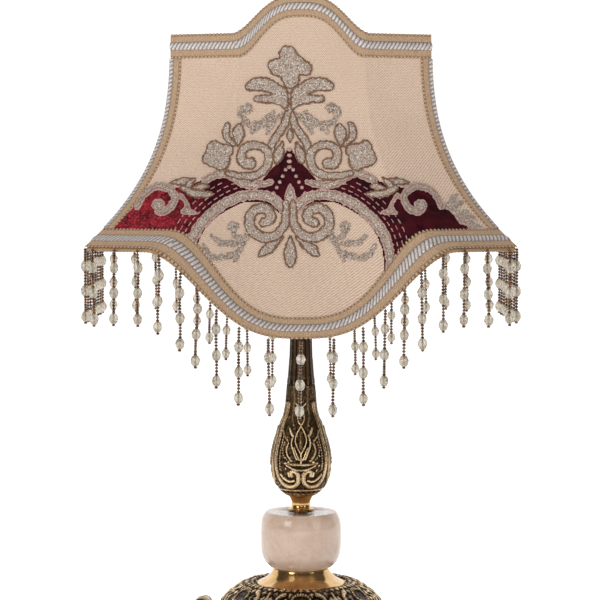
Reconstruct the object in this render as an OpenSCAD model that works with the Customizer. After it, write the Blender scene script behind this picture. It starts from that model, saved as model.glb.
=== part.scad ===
// Table lamp: brass and marble stand under an oblong fabric bell shade with a bead fringe.
// The origin is on the stand's axis at table level, and -Y is the front.

/* [Base] */
// Outer radius of the plinth ring
plinth_r = 68; // [66:0.5:70]
// Height of the plinth's underside above the table
plinth_z = 12; // [10:0.5:13]
// Height of the rim around the dome's flat top
dome_rim_z = 62.5; // [61.5:0.5:62.5]
// Wall of the dome and the plinth
wall = 3; // [2.5:0.5:4]
// Radius at which the four scroll feet stand
foot_stand_r = 80; // [79:0.5:82]
// Direction of the first scroll foot, in degrees from +X
foot_turn = 75; // [70:1:80]
// Width of a scroll foot
foot_w = 18; // [14:1:20]
// Thickness of the felt pads
pad_h = 2; // [1.5:0.5:2.5]
// Direction in which the cord leaves the plinth, in degrees from +X
inlet_turn = 120; // [115:1:125]
// Bore of the cord inlet
inlet_bore_r = 3.6; // [3:0.1:4]

/* [Drum] */
// Radius of the marble drum
drum_r = 29.2; // [27:0.1:31]
// Height of the drum's underside
drum_z = 72; // [72:0.1:72.4]
// Height of the drum's top
drum_top_z = 113; // [110:0.5:113]
// Squareness of the drum's section: 2 is an ellipse, larger is squarer
drum_squareness = 3.5; // [2.5:0.1:5]

/* [Stem] */
// Height of the foot of the baluster
stem_z = 126; // [125.5:0.1:126]
// Largest radius of the baluster
belly_r = 21.6; // [20:0.1:23]
// Height where the baluster meets the fluted neck
neck_z = 206; // [204:0.5:208]
// Height of the top of the fluted neck
stem_top_z = 296; // [292:0.5:296]
// Outer radius of the threaded tube
tube_r = 5; // [4.5:0.1:5]

/* [Lampholder and bulb] */
// Outer radius of the lampholder's skirt
holder_r = 19.5; // [19:0.1:20]
// Height of the seat that carries the shade
seat_z = 330; // [329:0.5:331]
// Radius of the bulb's globe
bulb_r = 30; // [25:0.5:31]
// Height of the top of the bulb
bulb_top_z = 436; // [432:0.5:440]

/* [Shade] */
// Height of the flat stretches of the top edge
shade_top_z = 453.5; // [450:0.5:458]
// Height of the flat stretches of the lower edge
shade_low_z = 307.5; // [304:0.5:310]
// Height of the hump in the top edge, front and back
hump_h = 26; // [10:1:30]
// Half width of the hump
hump_half = 48; // [44:1:52]
// Drop of the scallop in the lower edge, front and back
scallop_h = 61; // [30:1:62]
// Half width of the scallop
scallop_half = 106; // [100:1:110]
// How late the sides flare: 1 is a straight cone
flare = 2.75; // [2:0.05:3]
// Width of the braid trim along the edges
braid_w = 15; // [12:0.5:16]

/* [Fringe] */
// Spacing of the three large beads on a strand
bead_pitch = 17.4; // [15:0.1:18]
// Radius of a large bead
bead_r = 3.2; // [2.5:0.1:3.4]
// Length of a large bead
bead_len = 7.6; // [6:0.1:8]
// Drop from the lower edge to the middle of the first large bead
first_bead_drop = 14.4; // [12:0.1:15]
// Radius of the column of small seed beads
seed_r = 1.1; // [0.9:0.1:1.2]

/* [Hidden] */

$fn = 64;

// Clearance between stacked pieces, around the tube, and between moving pieces
gap = 0.2;
bore_gap = 0.2;
running_gap = 0.05;
moving_gap = 0.3;

brass = "darkgoldenrod";
polished_brass = "goldenrod";
fabric_cream = "antiquewhite";
velvet_red = "darkred";
braid_beige = "tan";
bead_clear = "lightgray";
steel = "silver";

// Plan of the shade: half widths and half depths of its eight corners. The ribs
// bound the front and back faces, and the ridges bound the two sides.
top_rib = [44, 65];
top_ridge = [90, 47];
low_rib = [93, 107];
low_ridge = [147.5, 78];

// Horizontal offsets of the shade's layers from the outside of the cover
cover_in = -0.8;
wire_at = -4.1;
lining_out = -6.4;
lining_in = -7.0;
velvet_off = [0.5, 1.05];
braid_off = [0.45, 1.5];
tape_off = [-1.8, -1.0];
strand_off = 1.6;

wire_r = 1.3;
// Depth of each edge wire inside the edge
edge_wire_in = 3;
rows = 16;
// Number of columns on each of the eight faces, starting with the front
face_cols = [20, 6, 3, 6, 20, 6, 3, 6];

// ---- Shade surface -------------------------------------------------------

// Corners in order, anticlockwise from above, from the front left rib
function octagon(rib, ridge) = [
    [-rib.x, -rib.y], [rib.x, -rib.y], [ridge.x, -ridge.y], [ridge.x, ridge.y],
    [rib.x, rib.y], [-rib.x, rib.y], [-ridge.x, ridge.y], [-ridge.x, -ridge.y]];
top_plan = octagon(top_rib, top_ridge);
low_plan = octagon(low_rib, low_ridge);

// Outward normal of the face that starts at corner i
function face_normal(corners, i) =
    let (along = corners[(i + 1) % 8] - corners[i % 8])
    [along.y, -along.x] / norm(along);
// Corner i after every face has moved out by d
function moved_corner(corners, i, d) =
    let (n1 = face_normal(corners, i + 7), n2 = face_normal(corners, i))
    corners[i % 8] + d * (n1 + n2) / (1 + n1 * n2);
// Point on the outline: u is the face number plus the fraction along that face
function on_plan(corners, u, d) =
    let (i = floor(u), f = u - i)
    moved_corner(corners, i, d) * (1 - f) + moved_corner(corners, i + 1, d) * f;

// 1 in the middle of a wave, 0 beyond its half width
function wave(x, half, roundness) =
    (1 + cos(180 * pow(min(1, abs(x) / half), roundness))) / 2;
function top_wave(u, half) = wave(on_plan(top_plan, u, 0).x, half, 1.5);
function low_wave(u, half) = wave(on_plan(low_plan, u, 0).x, half, 1.45);
function top_z(u) = shade_top_z + hump_h * top_wave(u, hump_half);
function low_z(u) = shade_low_z - scallop_h * low_wave(u, scallop_half);

// Point of the shade: t runs from 0 at the top edge to 1 at the lower edge
function shade_at(u, t, d) =
    let (a = on_plan(top_plan, u, d), b = on_plan(low_plan, u, d), s = pow(t, flare))
    [a.x + (b.x - a.x) * s, a.y + (b.y - a.y) * s, top_z(u) + (low_z(u) - top_z(u)) * t];
// The t at which a column reaches height z
function t_at(u, z) = (top_z(u) - z) / (top_z(u) - low_z(u));

// Inner edges of the braid along the top and along the lower edge
function top_braid_t(u) =
    t_at(u, shade_top_z - braid_w - 1 + (hump_h + 1.5) * top_wave(u, hump_half - 5));
function low_braid_t(u) =
    t_at(u, shade_low_z + 0.8 * braid_w - (scallop_h - 1.5) * low_wave(u, scallop_half - 6));

// Columns from face `first` to the end of face `last`
function columns(first, last) = [
    for (f = [first:last]) for (i = [0:face_cols[f % 8] - 1]) f + i / face_cols[f % 8]];
ring = columns(0, 7);

// Splits a four-sided face into two triangles
function halves(a, b, c, d) = [[a, b, c], [a, c, d]];
function flat(lists) = [for (l = lists) each l];

// Curved sheet over columns us, from t_from[i] to t_to[i], between two offsets
module sheet(us, t_from, t_to, off, closed = false, n = rows) {
    last = len(us) - 1;
    side = n + 1;
    layer = len(us) * side;
    points = [for (d = [off[1], off[0]]) for (i = [0:last]) for (j = [0:n])
        shade_at(us[i] % 8, t_from[i] + (t_to[i] - t_from[i]) * j / n, d)];
    steps = closed ? last : last - 1;
    skins = [for (i = [0:steps]) for (j = [0:n - 1])
        let (a = i * side + j, b = ((i + 1) % (last + 1)) * side + j)
        each concat(halves(a, b, b + 1, a + 1),
            halves(layer + a, layer + a + 1, layer + b + 1, layer + b))];
    edges = [for (i = [0:steps])
        let (a = i * side, b = ((i + 1) % (last + 1)) * side)
        each concat(halves(a, layer + a, layer + b, b),
            halves(a + n, b + n, layer + b + n, layer + a + n))];
    ends = closed ? [] : [for (j = [0:n - 1])
        let (a = j, b = last * side + j)
        each concat(halves(layer + a, a, a + 1, layer + a + 1),
            halves(b, layer + b, layer + b + 1, b + 1))];
    polyhedron(points, concat(skins, edges, ends));
}

// Round wire along a path, with its flat facets turned to the shade's axis
module wire(path, r, closed = false, sides = 6) {
    last = len(path) - 1;
    ring_of = [for (i = [0:last])
        let (before = closed ? path[(i + last) % (last + 1)] : path[max(0, i - 1)],
            after = closed ? path[(i + 1) % (last + 1)] : path[min(last, i + 1)],
            along = (after - before) / norm(after - before),
            out = [path[i].x, path[i].y, 0],
            flat_out = out - (out * along) * along,
            n = flat_out / norm(flat_out),
            b = cross(along, n))
        [for (k = [0:sides - 1]) path[i] + r * (cos(360 * k / sides) * n + sin(360 * k / sides) * b)]];
    steps = closed ? last : last - 1;
    skin = [for (i = [0:steps]) for (k = [0:sides - 1])
        let (j = (i + 1) % (last + 1), m = (k + 1) % sides)
        each halves(i * sides + k, j * sides + k, j * sides + m, i * sides + m)];
    caps = closed ? [] : [[for (k = [0:sides - 1]) k],
        [for (k = [sides - 1:-1:0]) last * sides + k]];
    polyhedron(flat(ring_of), concat(skin, caps));
}

// ---- Base ----------------------------------------------------------------

// Flat top of the dome, sunk inside its rim, and the underside of that plate
dome_plate_z = dome_rim_z - 2.5;
dome_plate_low_z = dome_plate_z - 2 * wall;
// Outline of the dome from its foot over its rim to the flat top, as radius and height
dome_outline = [[66, 30], [64, 37], [60.5, 44], [55.8, 50.4], [50.5, 55], [45, dome_rim_z - 3.3],
    [40.5, dome_rim_z - 0.9], [37.2, dome_rim_z], [34.8, dome_rim_z - 1], [33.6, dome_plate_z]];

module base_dome() {
    inside = [for (p = dome_outline) [p.x - wall, p.y - wall / 2]];
    color(brass) rotate_extrude() polygon(concat(
        [[tube_r + bore_gap, dome_plate_z]],
        [[tube_r + bore_gap, dome_plate_low_z]],
        [[inside[5].x, dome_plate_low_z]],
        [for (i = [4:-1:1]) inside[i]],
        [[66 - wall, 30 + gap], [66, 30 + gap]],
        [for (i = [1:len(dome_outline) - 1]) dome_outline[i]]));
}

module base_plinth() {
    color(brass) difference() {
        rotate_extrude() polygon([
            [plinth_r - wall, plinth_z], [plinth_r, plinth_z], [plinth_r, 27],
            [plinth_r - 1, 30], [plinth_r - wall - 2, 30], [plinth_r - wall - 2, 27],
            [plinth_r - wall, 27]]);
        inlet_at(plinth_r - 10) cylinder(h = 20, r = grommet_r);
    }
}

grommet_r = 6;
// Places its child on the inlet's axis, at radius r, pointing outward
module inlet_at(r) {
    rotate([0, 0, inlet_turn]) translate([r, 0, 20]) rotate([0, 90, 0]) children();
}

module scroll_foot() {
    rotate([90, 0, 0]) translate([0, 0, -foot_w / 2]) linear_extrude(foot_w) union() {
        translate([plinth_r + 6, 41.5]) circle(7.5);
        translate([foot_stand_r, pad_h + 7.5]) circle(7.5);
        polygon([[plinth_r + 0.1, 14], [foot_stand_r, pad_h + 1], [foot_stand_r + 6, 14],
            [foot_stand_r - 0.5, 26], [foot_stand_r + 1, 40], [plinth_r + 2, 46],
            [plinth_r - 1, 39], [plinth_r + 0.1, 29]]);
    }
}

module around_feet() {
    for (i = [0:3]) rotate([0, 0, foot_turn + 90 * i]) children();
}

module scroll_feet() {
    color(brass) around_feet() scroll_foot();
}

module felt_pads() {
    color("darkgreen") around_feet() translate([foot_stand_r, 0, 0]) cylinder(h = pad_h, r = 6.5);
}

module base_cover() {
    color(steel) translate([0, 0, plinth_z + gap]) cylinder(h = 1.5, r = plinth_r - wall - gap);
}

module ballast_disc() {
    color("dimgray") translate([0, 0, plinth_z + 2]) difference() {
        cylinder(h = 16, r = 52);
        translate([0, 0, -1]) cylinder(h = 18, r = 9);
    }
}

module cord_grommet() {
    color("black") difference() {
        union() {
            inlet_at(plinth_r - 8) cylinder(h = 10, r = grommet_r - running_gap);
            inlet_at(plinth_r + 0.3) cylinder(h = 2.5, r = grommet_r + 2);
        }
        inlet_at(plinth_r - 12) cylinder(h = 20, r = inlet_bore_r);
    }
}

nut_h = 7;
washer_h = 2.1;
nut_z = dome_plate_low_z - washer_h - 2 * gap - nut_h;
module base_nut() {
    color(steel) difference() {
        translate([0, 0, nut_z]) cylinder(h = nut_h, r = 9.2, $fn = 6);
        translate([0, 0, nut_z - 1]) cylinder(h = nut_h + 2, r = tube_r + running_gap);
    }
}

module base_washer() {
    color(steel) translate([0, 0, nut_z + nut_h + gap]) difference() {
        cylinder(h = washer_h, r = 13);
        translate([0, 0, -1]) cylinder(h = 10, r = tube_r + running_gap);
    }
}

tube_top_z = 312;
module threaded_tube() {
    color(steel) difference() {
        translate([0, 0, nut_z - 3]) cylinder(h = tube_top_z - nut_z + 3, r = tube_r);
        translate([0, 0, nut_z - 4]) cylinder(h = tube_top_z - nut_z + 5, r = tube_r - 1);
    }
}

// ---- Drum and stem -------------------------------------------------------

// Turned piece from an outline of radius and height, with the tube's clearance bored out
module turned(outline) {
    bore = tube_r + bore_gap;
    last = outline[len(outline) - 1];
    rotate_extrude() polygon(concat([[bore, outline[0].y]], outline, [[bore, last.y]]));
}

module base_collar() {
    z = dome_plate_z + gap;
    color(polished_brass) turned([[32, z], [31.8, z + 1.2], [27, z + 3.6], [22.5, z + 7.3],
        [19.5, drum_z - gap]]);
}

// Barrel with a superellipse for its section, cut flat at both ends
drum_mid_z = 96;
drum_low_half = 26;
drum_high_half = 22;
function drum_radius(z) =
    let (half = z < drum_mid_z ? drum_low_half : drum_high_half,
        n = drum_squareness)
    drum_r * pow(1 - pow(abs(z - drum_mid_z) / half, n), 1 / n);

module marble_drum() {
    steps = 14;
    color("rosybrown") turned([for (i = [0:steps])
        let (z = drum_mid_z + (i < steps / 2
            ? (drum_z - drum_mid_z) * sin(90 * (1 - 2 * i / steps))
            : (drum_top_z - drum_mid_z) * sin(90 * (2 * i / steps - 1))))
        [drum_radius(z), z]]);
}

module neck_disc() {
    z = drum_top_z + gap;
    color(brass) turned([[10.5, z], [10.2, z + 0.7], [8.6, z + 1.4]]);
}

module neck_spool() {
    z = drum_top_z + 1.4 + 2 * gap;
    color(brass) turned([[8.2, z], [7.2, z + 1.2], [7.1, z + 7], [7.3, z + 9.5],
        [8.6, stem_z - gap]]);
}

module stem_baluster() {
    color(brass) turned([[8.9, stem_z], [10.8, 128.2], [15.4, 130.6], [belly_r - 3, 135.2],
        [belly_r - 1.1, 142.3], [belly_r, 149], [belly_r - 0.5, 156], [belly_r - 2.1, 163],
        [17.4, 169.9], [15.4, 176.7], [13, 181.5], [11.6, 187], [10.6, 195],
        [9.7, neck_z - gap]]);
}

module stem_neck() {
    color(brass) turned([[9.7, neck_z], [9, 214], [8.3, 224], [7.9, 236], [7.5, 252],
        [7.4, stem_top_z - 6], [9.5, stem_top_z - 4], [9.5, stem_top_z]]);
}

// ---- Lampholder and bulb -------------------------------------------------

module holder_cap() {
    z = stem_top_z + gap;
    color(polished_brass) rotate_extrude() polygon([
        [tube_r + bore_gap, z], [9, z], [14, z + 4], [18, z + 10], [holder_r, z + 17],
        [holder_r, z + 22], [holder_r - 1.2, z + 22], [holder_r - 1.2, z + 17],
        [16.6, z + 11], [12.6, z + 5.4], [9, z + 3], [tube_r + bore_gap, z + 3]]);
}

module holder_body() {
    z = stem_top_z + 22 + 2 * gap;
    color("ivory") rotate_extrude() polygon([
        [holder_r - 2.5, z], [holder_r, z], [holder_r, seat_z - 2], [holder_r + 4.5, seat_z - 2],
        [holder_r + 4.5, seat_z], [holder_r, seat_z], [holder_r, 352], [holder_r - 2.5, 352]]);
}

module holder_insert() {
    z = 319;
    color("ivory") translate([0, 0, z]) difference() {
        cylinder(h = 5, r = holder_r - 2.5 - gap);
        for (side = [-1, 1]) translate([side * 11, 0, -1]) cylinder(h = 7, r = 2);
    }
}

module holder_shell() {
    color(polished_brass) translate([0, 0, 324 + gap]) difference() {
        cylinder(h = 22, r = 14.8);
        translate([0, 0, -1]) cylinder(h = 24, r = 14);
    }
}

module holder_contact() {
    color(steel) translate([0, 0, 324 + gap]) cylinder(h = 2, r = 4);
}

module terminal_screws() {
    color(steel) for (side = [-1, 1]) translate([side * 11, 0, 318]) {
        cylinder(h = 5.5, r = 1.8);
    }
}

module shade_clamp_ring() {
    z = seat_z + 2 + 2 * gap;
    color("ivory") difference() {
        translate([0, 0, z]) union() {
            cylinder(h = 3, r = 28);
            cylinder(h = 9, r = 24);
        }
        translate([0, 0, z - 1]) cylinder(h = 12, r = holder_r + running_gap);
        for (i = [0:23]) rotate([0, 0, 15 * i]) translate([24.4, 0, z + 3]) cylinder(h = 8, r = 1, $fn = 16);
    }
}

bulb_cap_z = 326.8;
module bulb_cap() {
    z = bulb_cap_z;
    color(steel) rotate_extrude() polygon([
        [0, z], [4.5, z], [9, z + 3], [13, z + 6], [13.2, z + 8], [13.2, z + 26.5], [12.4, z + 27],
        [0, z + 27]]);
}

// Glass from the cap up: a neck that widens in a smooth curve into the globe
module bulb_glass() {
    z = bulb_cap_z + 27 + gap;
    globe_z = bulb_top_z - bulb_r;
    shoulder = 40;
    skin = 1;
    function outline(r) = concat(
        [[12.4 - bulb_r + r, z], [13 - bulb_r + r, z + 4]],
        [for (i = [0:3]) [14.5 + (r * cos(shoulder) - 14.5) * pow(i / 4, 1.3) - (bulb_r - r) * (1 - i / 4),
            z + 8 + (globe_z - r * sin(shoulder) - z - 8) * i / 4]],
        [for (a = [-shoulder:10:80]) [r * cos(a), globe_z + r * sin(a)]]);
    color("white", 0.5) rotate_extrude() polygon(concat(
        outline(bulb_r), [[0, globe_z + bulb_r], [0, globe_z + bulb_r - skin]],
        [for (i = [len(outline(bulb_r)) - 1:-1:0]) outline(bulb_r - skin)[i]]));
}

module bulb_mount() {
    z = bulb_cap_z + 27 + gap;
    color("lightgray") {
        rotate_extrude($fn = 32) polygon([[0, z], [9, z], [5, z + 8], [3, z + 22], [0, z + 24]]);
        for (side = [-1, 1]) translate([side * 1.8, 0, z + 20]) rotate([0, side * 20, 0]) {
            cylinder(h = 26, r = 0.5, $fn = 16);
        }
    }
}

// ---- Shade frame ---------------------------------------------------------

fitter_z = seat_z + gap;
module fitter_ring() {
    color(steel) translate([0, 0, fitter_z]) difference() {
        cylinder(h = 2, r = 27);
        translate([0, 0, -1]) cylinder(h = 4, r = holder_r + running_gap);
    }
}

// Rods from the ring to the lower wire, just inside it at the four ridges
module fitter_arms() {
    arm_r = 1.75;
    // How far the rod stops short of the bend of the wire
    short = 1.2;
    for (corner = [2, 3, 6, 7]) {
        foot_z = low_z(corner) + edge_wire_in;
        foot = shade_at(corner, t_at(corner, foot_z), wire_at);
        turn = atan2(foot.y, foot.x);
        from = [27 + gap, fitter_z + 1 - 0.7];
        to = [norm([foot.x, foot.y]) - wire_r - short, foot_z];
        run = to - from;
        color(steel) rotate([0, 0, turn]) translate([from.x, 0, from.y]) {
            rotate([0, 90 - atan2(run.y, run.x), 0]) cylinder(h = norm(run), r = arm_r);
        }
    }
}

module frame_top_wire() {
    path = [for (u = ring) shade_at(u, t_at(u, top_z(u) - edge_wire_in), wire_at)];
    color(steel) wire(path, wire_r, closed = true);
}

module frame_bottom_wire() {
    path = [for (u = ring) shade_at(u, t_at(u, low_z(u) + edge_wire_in), wire_at)];
    color(steel) wire(path, wire_r, closed = true);
}

module frame_ribs() {
    inset = edge_wire_in + wire_r + 0.6;
    for (u = [0:7]) {
        t0 = t_at(u, top_z(u) - inset);
        t1 = t_at(u, low_z(u) + inset + 0.6);
        path = [for (j = [0:rows]) shade_at(u, t0 + (t1 - t0) * j / rows, wire_at)];
        color(steel) wire(path, wire_r);
    }
}

// ---- Shade fabric --------------------------------------------------------

// Full-height panel from the ridge where face `first` starts to the end of `last`
module cover(first, last) {
    us = concat(columns(first, last), [last + 0.9999]);
    color(fabric_cream) sheet(us, [for (u = us) 0], [for (u = us) 1], [cover_in, 0]);
}

module cover_front() { cover(7, 9); }
module cover_back() { cover(3, 5); }
module cover_left() { cover(6, 6); }
module cover_right() { cover(2, 2); }

// The lining ends this far above the lower edge, clear of the rods
lining_lift = 7;
module lining() {
    color("white") sheet(ring, [for (u = ring) 0.012], [for (u = ring) t_at(u, low_z(u) + lining_lift)],
        [lining_in, lining_out], closed = true);
}

// Velvet ground: two wings above the lower braid, and a pointed field in the middle.
// x is measured at the lower edge of the front face.
// Ends of a wing: one of its columns falls on the rib, where the shade bends
wing_tip_x = 127;
wing_in_x = 25;
function wing_top_z(x) = 322 - 46 * wave(x, 104, 1.2) - 12 * wave(x - 104, 40, 1);
function front_u(x) = x < low_rib.x
    ? (x > -low_rib.x
        ? (x / low_rib.x + 1) / 2
        : 7 + (x + low_ridge.x) / (low_ridge.x - low_rib.x))
    : 1 + (x - low_rib.x) / (low_ridge.x - low_rib.x);

module velvet_wing(side, face) {
    n = 15;
    us = [for (i = [0:n])
        let (x = side > 0 ? wing_in_x + (wing_tip_x - wing_in_x) * i / n
            : -wing_tip_x + (wing_tip_x - wing_in_x) * i / n)
        front_u(x) + face];
    xs = [for (i = [0:n]) wing_in_x + (wing_tip_x - wing_in_x) * (side > 0 ? i : n - i) / n];
    t_low = [for (u = us) low_braid_t(u % 8) - 0.004];
    t_high = [for (i = [0:n]) min(t_low[i] - 0.02, t_at(us[i] % 8, wing_top_z(xs[i])))];
    sheet(us, t_high, t_low, velvet_off, n = 4);
}

module velvet_field(face) {
    n = 12;
    half = 30;
    xs = [for (i = [0:n]) -half + 2 * half * i / n];
    us = [for (x = xs) front_u(x) + face];
    rise = [for (x = xs) 1 - abs(x) / half];
    sheet(us, [for (i = [0:n]) t_at(us[i], 342 + 26 * rise[i])],
        [for (i = [0:n]) t_at(us[i], 340 - 12 * rise[i])], velvet_off, n = 4);
}

module velvet(face) {
    color(velvet_red) {
        velvet_wing(-1, face);
        velvet_wing(1, face);
        velvet_field(face);
    }
}

module velvet_front() { velvet(0); }
module velvet_back() { velvet(4); }

module top_braid() {
    color(braid_beige) sheet(ring, [for (u = ring) 0], [for (u = ring) top_braid_t(u)],
        braid_off, closed = true, n = 2);
}

module bottom_braid() {
    color(braid_beige) sheet(ring, [for (u = ring) low_braid_t(u)], [for (u = ring) 1],
        braid_off, closed = true, n = 2);
}

// Braid folded over the ridge at a corner, between the two edge braids
module ridge_braid(corner) {
    before = (corner + 7) % 8;
    t0 = top_braid_t(corner) + 0.003;
    t1 = low_braid_t(corner) - 0.003;
    section = [for (j = [0:rows])
        let (t = t0 + (t1 - t0) * j / rows,
            here = shade_at(corner, t, 0),
            left_f = braid_w / 2 / norm(shade_at(before, t, 0) - here),
            right_f = braid_w / 2 / norm(shade_at((corner + 1) % 8, t, 0) - here))
        [for (d = [braid_off[1], braid_off[0]])
            each [shade_at(before + 1 - left_f, t, d), shade_at(corner, t, d), shade_at(corner + right_f, t, d)]]];
    loop = [0, 1, 2, 5, 4, 3];
    skin = [for (j = [0:rows - 1]) for (k = [0:5])
        let (a = loop[k], b = loop[(k + 1) % 6])
        each halves(6 * j + a, 6 * j + b, 6 * (j + 1) + b, 6 * (j + 1) + a)];
    caps = [for (j = [0, rows]) each concat(
        halves(6 * j, 6 * j + 3, 6 * j + 4, 6 * j + 1), halves(6 * j + 1, 6 * j + 4, 6 * j + 5, 6 * j + 2))];
    flipped = [for (i = [0:3]) caps[i], for (i = [4:7]) [caps[i][2], caps[i][1], caps[i][0]]];
    polyhedron(flat(section), concat(skin, flipped));
}

module ridge_braids() {
    color(braid_beige) for (corner = [2, 3, 6, 7]) ridge_braid(corner);
}

// Hem tape: follows the cover inside the lower edge, then stands out straight below it
module fringe_tape() {
    hem_h = 3.2;
    section = [for (u = ring)
        let (low = low_z(u), hem = 0.4 + hem_h * (1 - low_wave(u, scallop_half)))
        [for (d = [tape_off[1], tape_off[0]])
            let (edge = shade_at(u, 1, d))
            each [shade_at(u, t_at(u, low + 5), d), edge, edge - [0, 0, hem]]]];
    loop = [0, 1, 2, 5, 4, 3];
    count = len(ring);
    skin = [for (i = [0:count - 1]) for (k = [0:5])
        let (j = (i + 1) % count, a = loop[k], b = loop[(k + 1) % 6])
        each halves(6 * i + a, 6 * j + a, 6 * j + b, 6 * i + b)];
    color(braid_beige) polyhedron(flat(section), skin);
}

// ---- Bead fringe ---------------------------------------------------------

// One strand hanging from its top at the origin
strand_drop = 1;
module strand() {
    first = first_bead_drop - strand_drop;
    bead = [[seed_r, bead_len / 2], [0.8 * bead_r, 0.35 * bead_len], [bead_r, 0.12 * bead_len],
        [bead_r, -0.12 * bead_len], [0.8 * bead_r, -0.35 * bead_len], [seed_r, -bead_len / 2]];
    end_z = -first - 2 * bead_pitch - bead_len / 2 - 1.6;
    outline = concat([[0, 0], [0.6, 0], [seed_r, -1]],
        [for (i = [0:2]) each [for (p = bead) [p.x, p.y - first - bead_pitch * i]]],
        [[seed_r, end_z + 0.5], [0.5, end_z], [0, end_z]]);
    rotate_extrude($fn = 24) polygon(outline);
}

module strand_at(u) {
    p = on_plan(low_plan, u % 8, strand_off);
    color(bead_clear) translate([p.x, p.y, low_z(u % 8) - strand_drop]) strand();
}

// Distance from the middle of the face to each pair of strands on the scallop
pair_x = [0, 22, 41.5, 56.5, 69.5, 80.5];
// Places of the strands on a corner face, from its rib, and on a side face
corner_places = [0.04, 0.31, 0.6, 0.88];
side_places = [0.083, 0.202, 0.321, 0.44, 0.56, 0.679, 0.798, 0.917];

module fringe_pair(index, face) {
    x = pair_x[index];
    strand_at(face + front_u(x));
    if (x > 0) strand_at(face + front_u(-x));
}

// direction is 1 where the face starts at its rib and -1 where it ends there
module fringe_corner(face, direction) {
    for (f = corner_places) strand_at(face + (direction > 0 ? f : 1 - f));
}

module fringe_side(face) {
    for (f = side_places) strand_at(face + f);
}

base_dome();
base_plinth();
scroll_feet();
felt_pads();
base_cover();
ballast_disc();
cord_grommet();
base_nut();
base_washer();
threaded_tube();
base_collar();
marble_drum();
neck_disc();
neck_spool();
stem_baluster();
stem_neck();
holder_cap();
holder_body();
holder_insert();
holder_shell();
holder_contact();
terminal_screws();
shade_clamp_ring();
bulb_cap();
bulb_glass();
bulb_mount();
fitter_ring();
fitter_arms();
frame_top_wire();
frame_bottom_wire();
frame_ribs();
lining();
cover_front();
cover_back();
cover_left();
cover_right();
velvet_front();
velvet_back();
top_braid();
bottom_braid();
ridge_braids();
fringe_tape();
fringe_pair(0, 0);  // fringe_front_0
fringe_pair(1, 0);  // fringe_front_1
fringe_pair(2, 0);  // fringe_front_2
fringe_pair(3, 0);  // fringe_front_3
fringe_pair(4, 0);  // fringe_front_4
fringe_pair(5, 0);  // fringe_front_5
fringe_pair(0, 4);  // fringe_back_0
fringe_pair(1, 4);  // fringe_back_1
fringe_pair(2, 4);  // fringe_back_2
fringe_pair(3, 4);  // fringe_back_3
fringe_pair(4, 4);  // fringe_back_4
fringe_pair(5, 4);  // fringe_back_5
fringe_corner(1, 1);  // fringe_corner_front_right
fringe_corner(3, -1);  // fringe_corner_back_right
fringe_corner(5, 1);  // fringe_corner_back_left
fringe_corner(7, -1);  // fringe_corner_front_left
fringe_side(2);  // fringe_right
fringe_side(6);  // fringe_left
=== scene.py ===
"""Table lamp with a fabric bell shade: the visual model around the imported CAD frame.

Lengths in this script are millimetres until a mesh is made; Blender's own units are metres.
"""

import math

import bpy
import numpy as np
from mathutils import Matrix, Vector


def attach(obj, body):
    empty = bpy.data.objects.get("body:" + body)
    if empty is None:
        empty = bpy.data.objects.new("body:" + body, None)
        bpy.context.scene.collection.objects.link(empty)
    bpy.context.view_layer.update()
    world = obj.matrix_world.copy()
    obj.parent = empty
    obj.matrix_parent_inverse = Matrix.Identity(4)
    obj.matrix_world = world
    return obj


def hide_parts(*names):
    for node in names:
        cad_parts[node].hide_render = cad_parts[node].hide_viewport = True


MM = 0.001
TAU = 2 * math.pi
SEED = 7

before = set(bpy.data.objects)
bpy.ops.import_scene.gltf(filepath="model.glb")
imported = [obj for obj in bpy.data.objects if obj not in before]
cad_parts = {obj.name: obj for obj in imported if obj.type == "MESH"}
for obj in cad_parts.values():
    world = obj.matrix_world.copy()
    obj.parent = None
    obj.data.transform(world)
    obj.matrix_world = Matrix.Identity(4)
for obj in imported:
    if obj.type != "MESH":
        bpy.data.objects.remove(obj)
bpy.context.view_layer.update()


# ---- Meshes ----


def make(name, verts, faces, material, body, nodes=(), smooth=True, kinds=None, uv=None, tints=None, slot=None):
    """A mesh object from points in mm and arrays of faces, riding on a CAD body."""
    mesh = bpy.data.meshes.new(name)
    verts = np.asarray(verts, float).reshape(-1, 3) * MM
    faces = [np.asarray(f, np.int32) for f in (faces if isinstance(faces, list) else [faces])]
    loops = np.concatenate([f.ravel() for f in faces])
    sizes = np.concatenate([np.full(len(f), f.shape[1], np.int32) for f in faces])
    mesh.vertices.add(len(verts))
    mesh.vertices.foreach_set("co", verts.ravel())
    mesh.loops.add(len(loops))
    mesh.loops.foreach_set("vertex_index", loops)
    mesh.polygons.add(len(sizes))
    mesh.polygons.foreach_set("loop_start", np.concatenate([[0], np.cumsum(sizes)[:-1]]).astype(np.int32))
    mesh.polygons.foreach_set("loop_total", sizes)
    mesh.polygons.foreach_set("use_smooth", np.full(len(sizes), smooth))
    for one in material if isinstance(material, list) else [material]:
        mesh.materials.append(one)
    if kinds is not None:
        mesh.polygons.foreach_set("material_index", np.asarray(kinds, np.int32))
    if uv is not None:
        layer = mesh.uv_layers.new(name="UVMap")
        layer.data.foreach_set("uv", np.asarray(uv, np.float32)[loops].ravel())
    for key, values in (tints or {}).items():
        mesh.attributes.new(key, "FLOAT", "POINT").data.foreach_set("value", np.asarray(values, np.float32).ravel())
    mesh.update(calc_edges=True)
    mesh.validate()
    obj = bpy.data.objects.new(name, mesh)
    bpy.context.scene.collection.objects.link(obj)
    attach(obj, body)
    if nodes:
        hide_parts(*nodes)
    return obj


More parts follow.
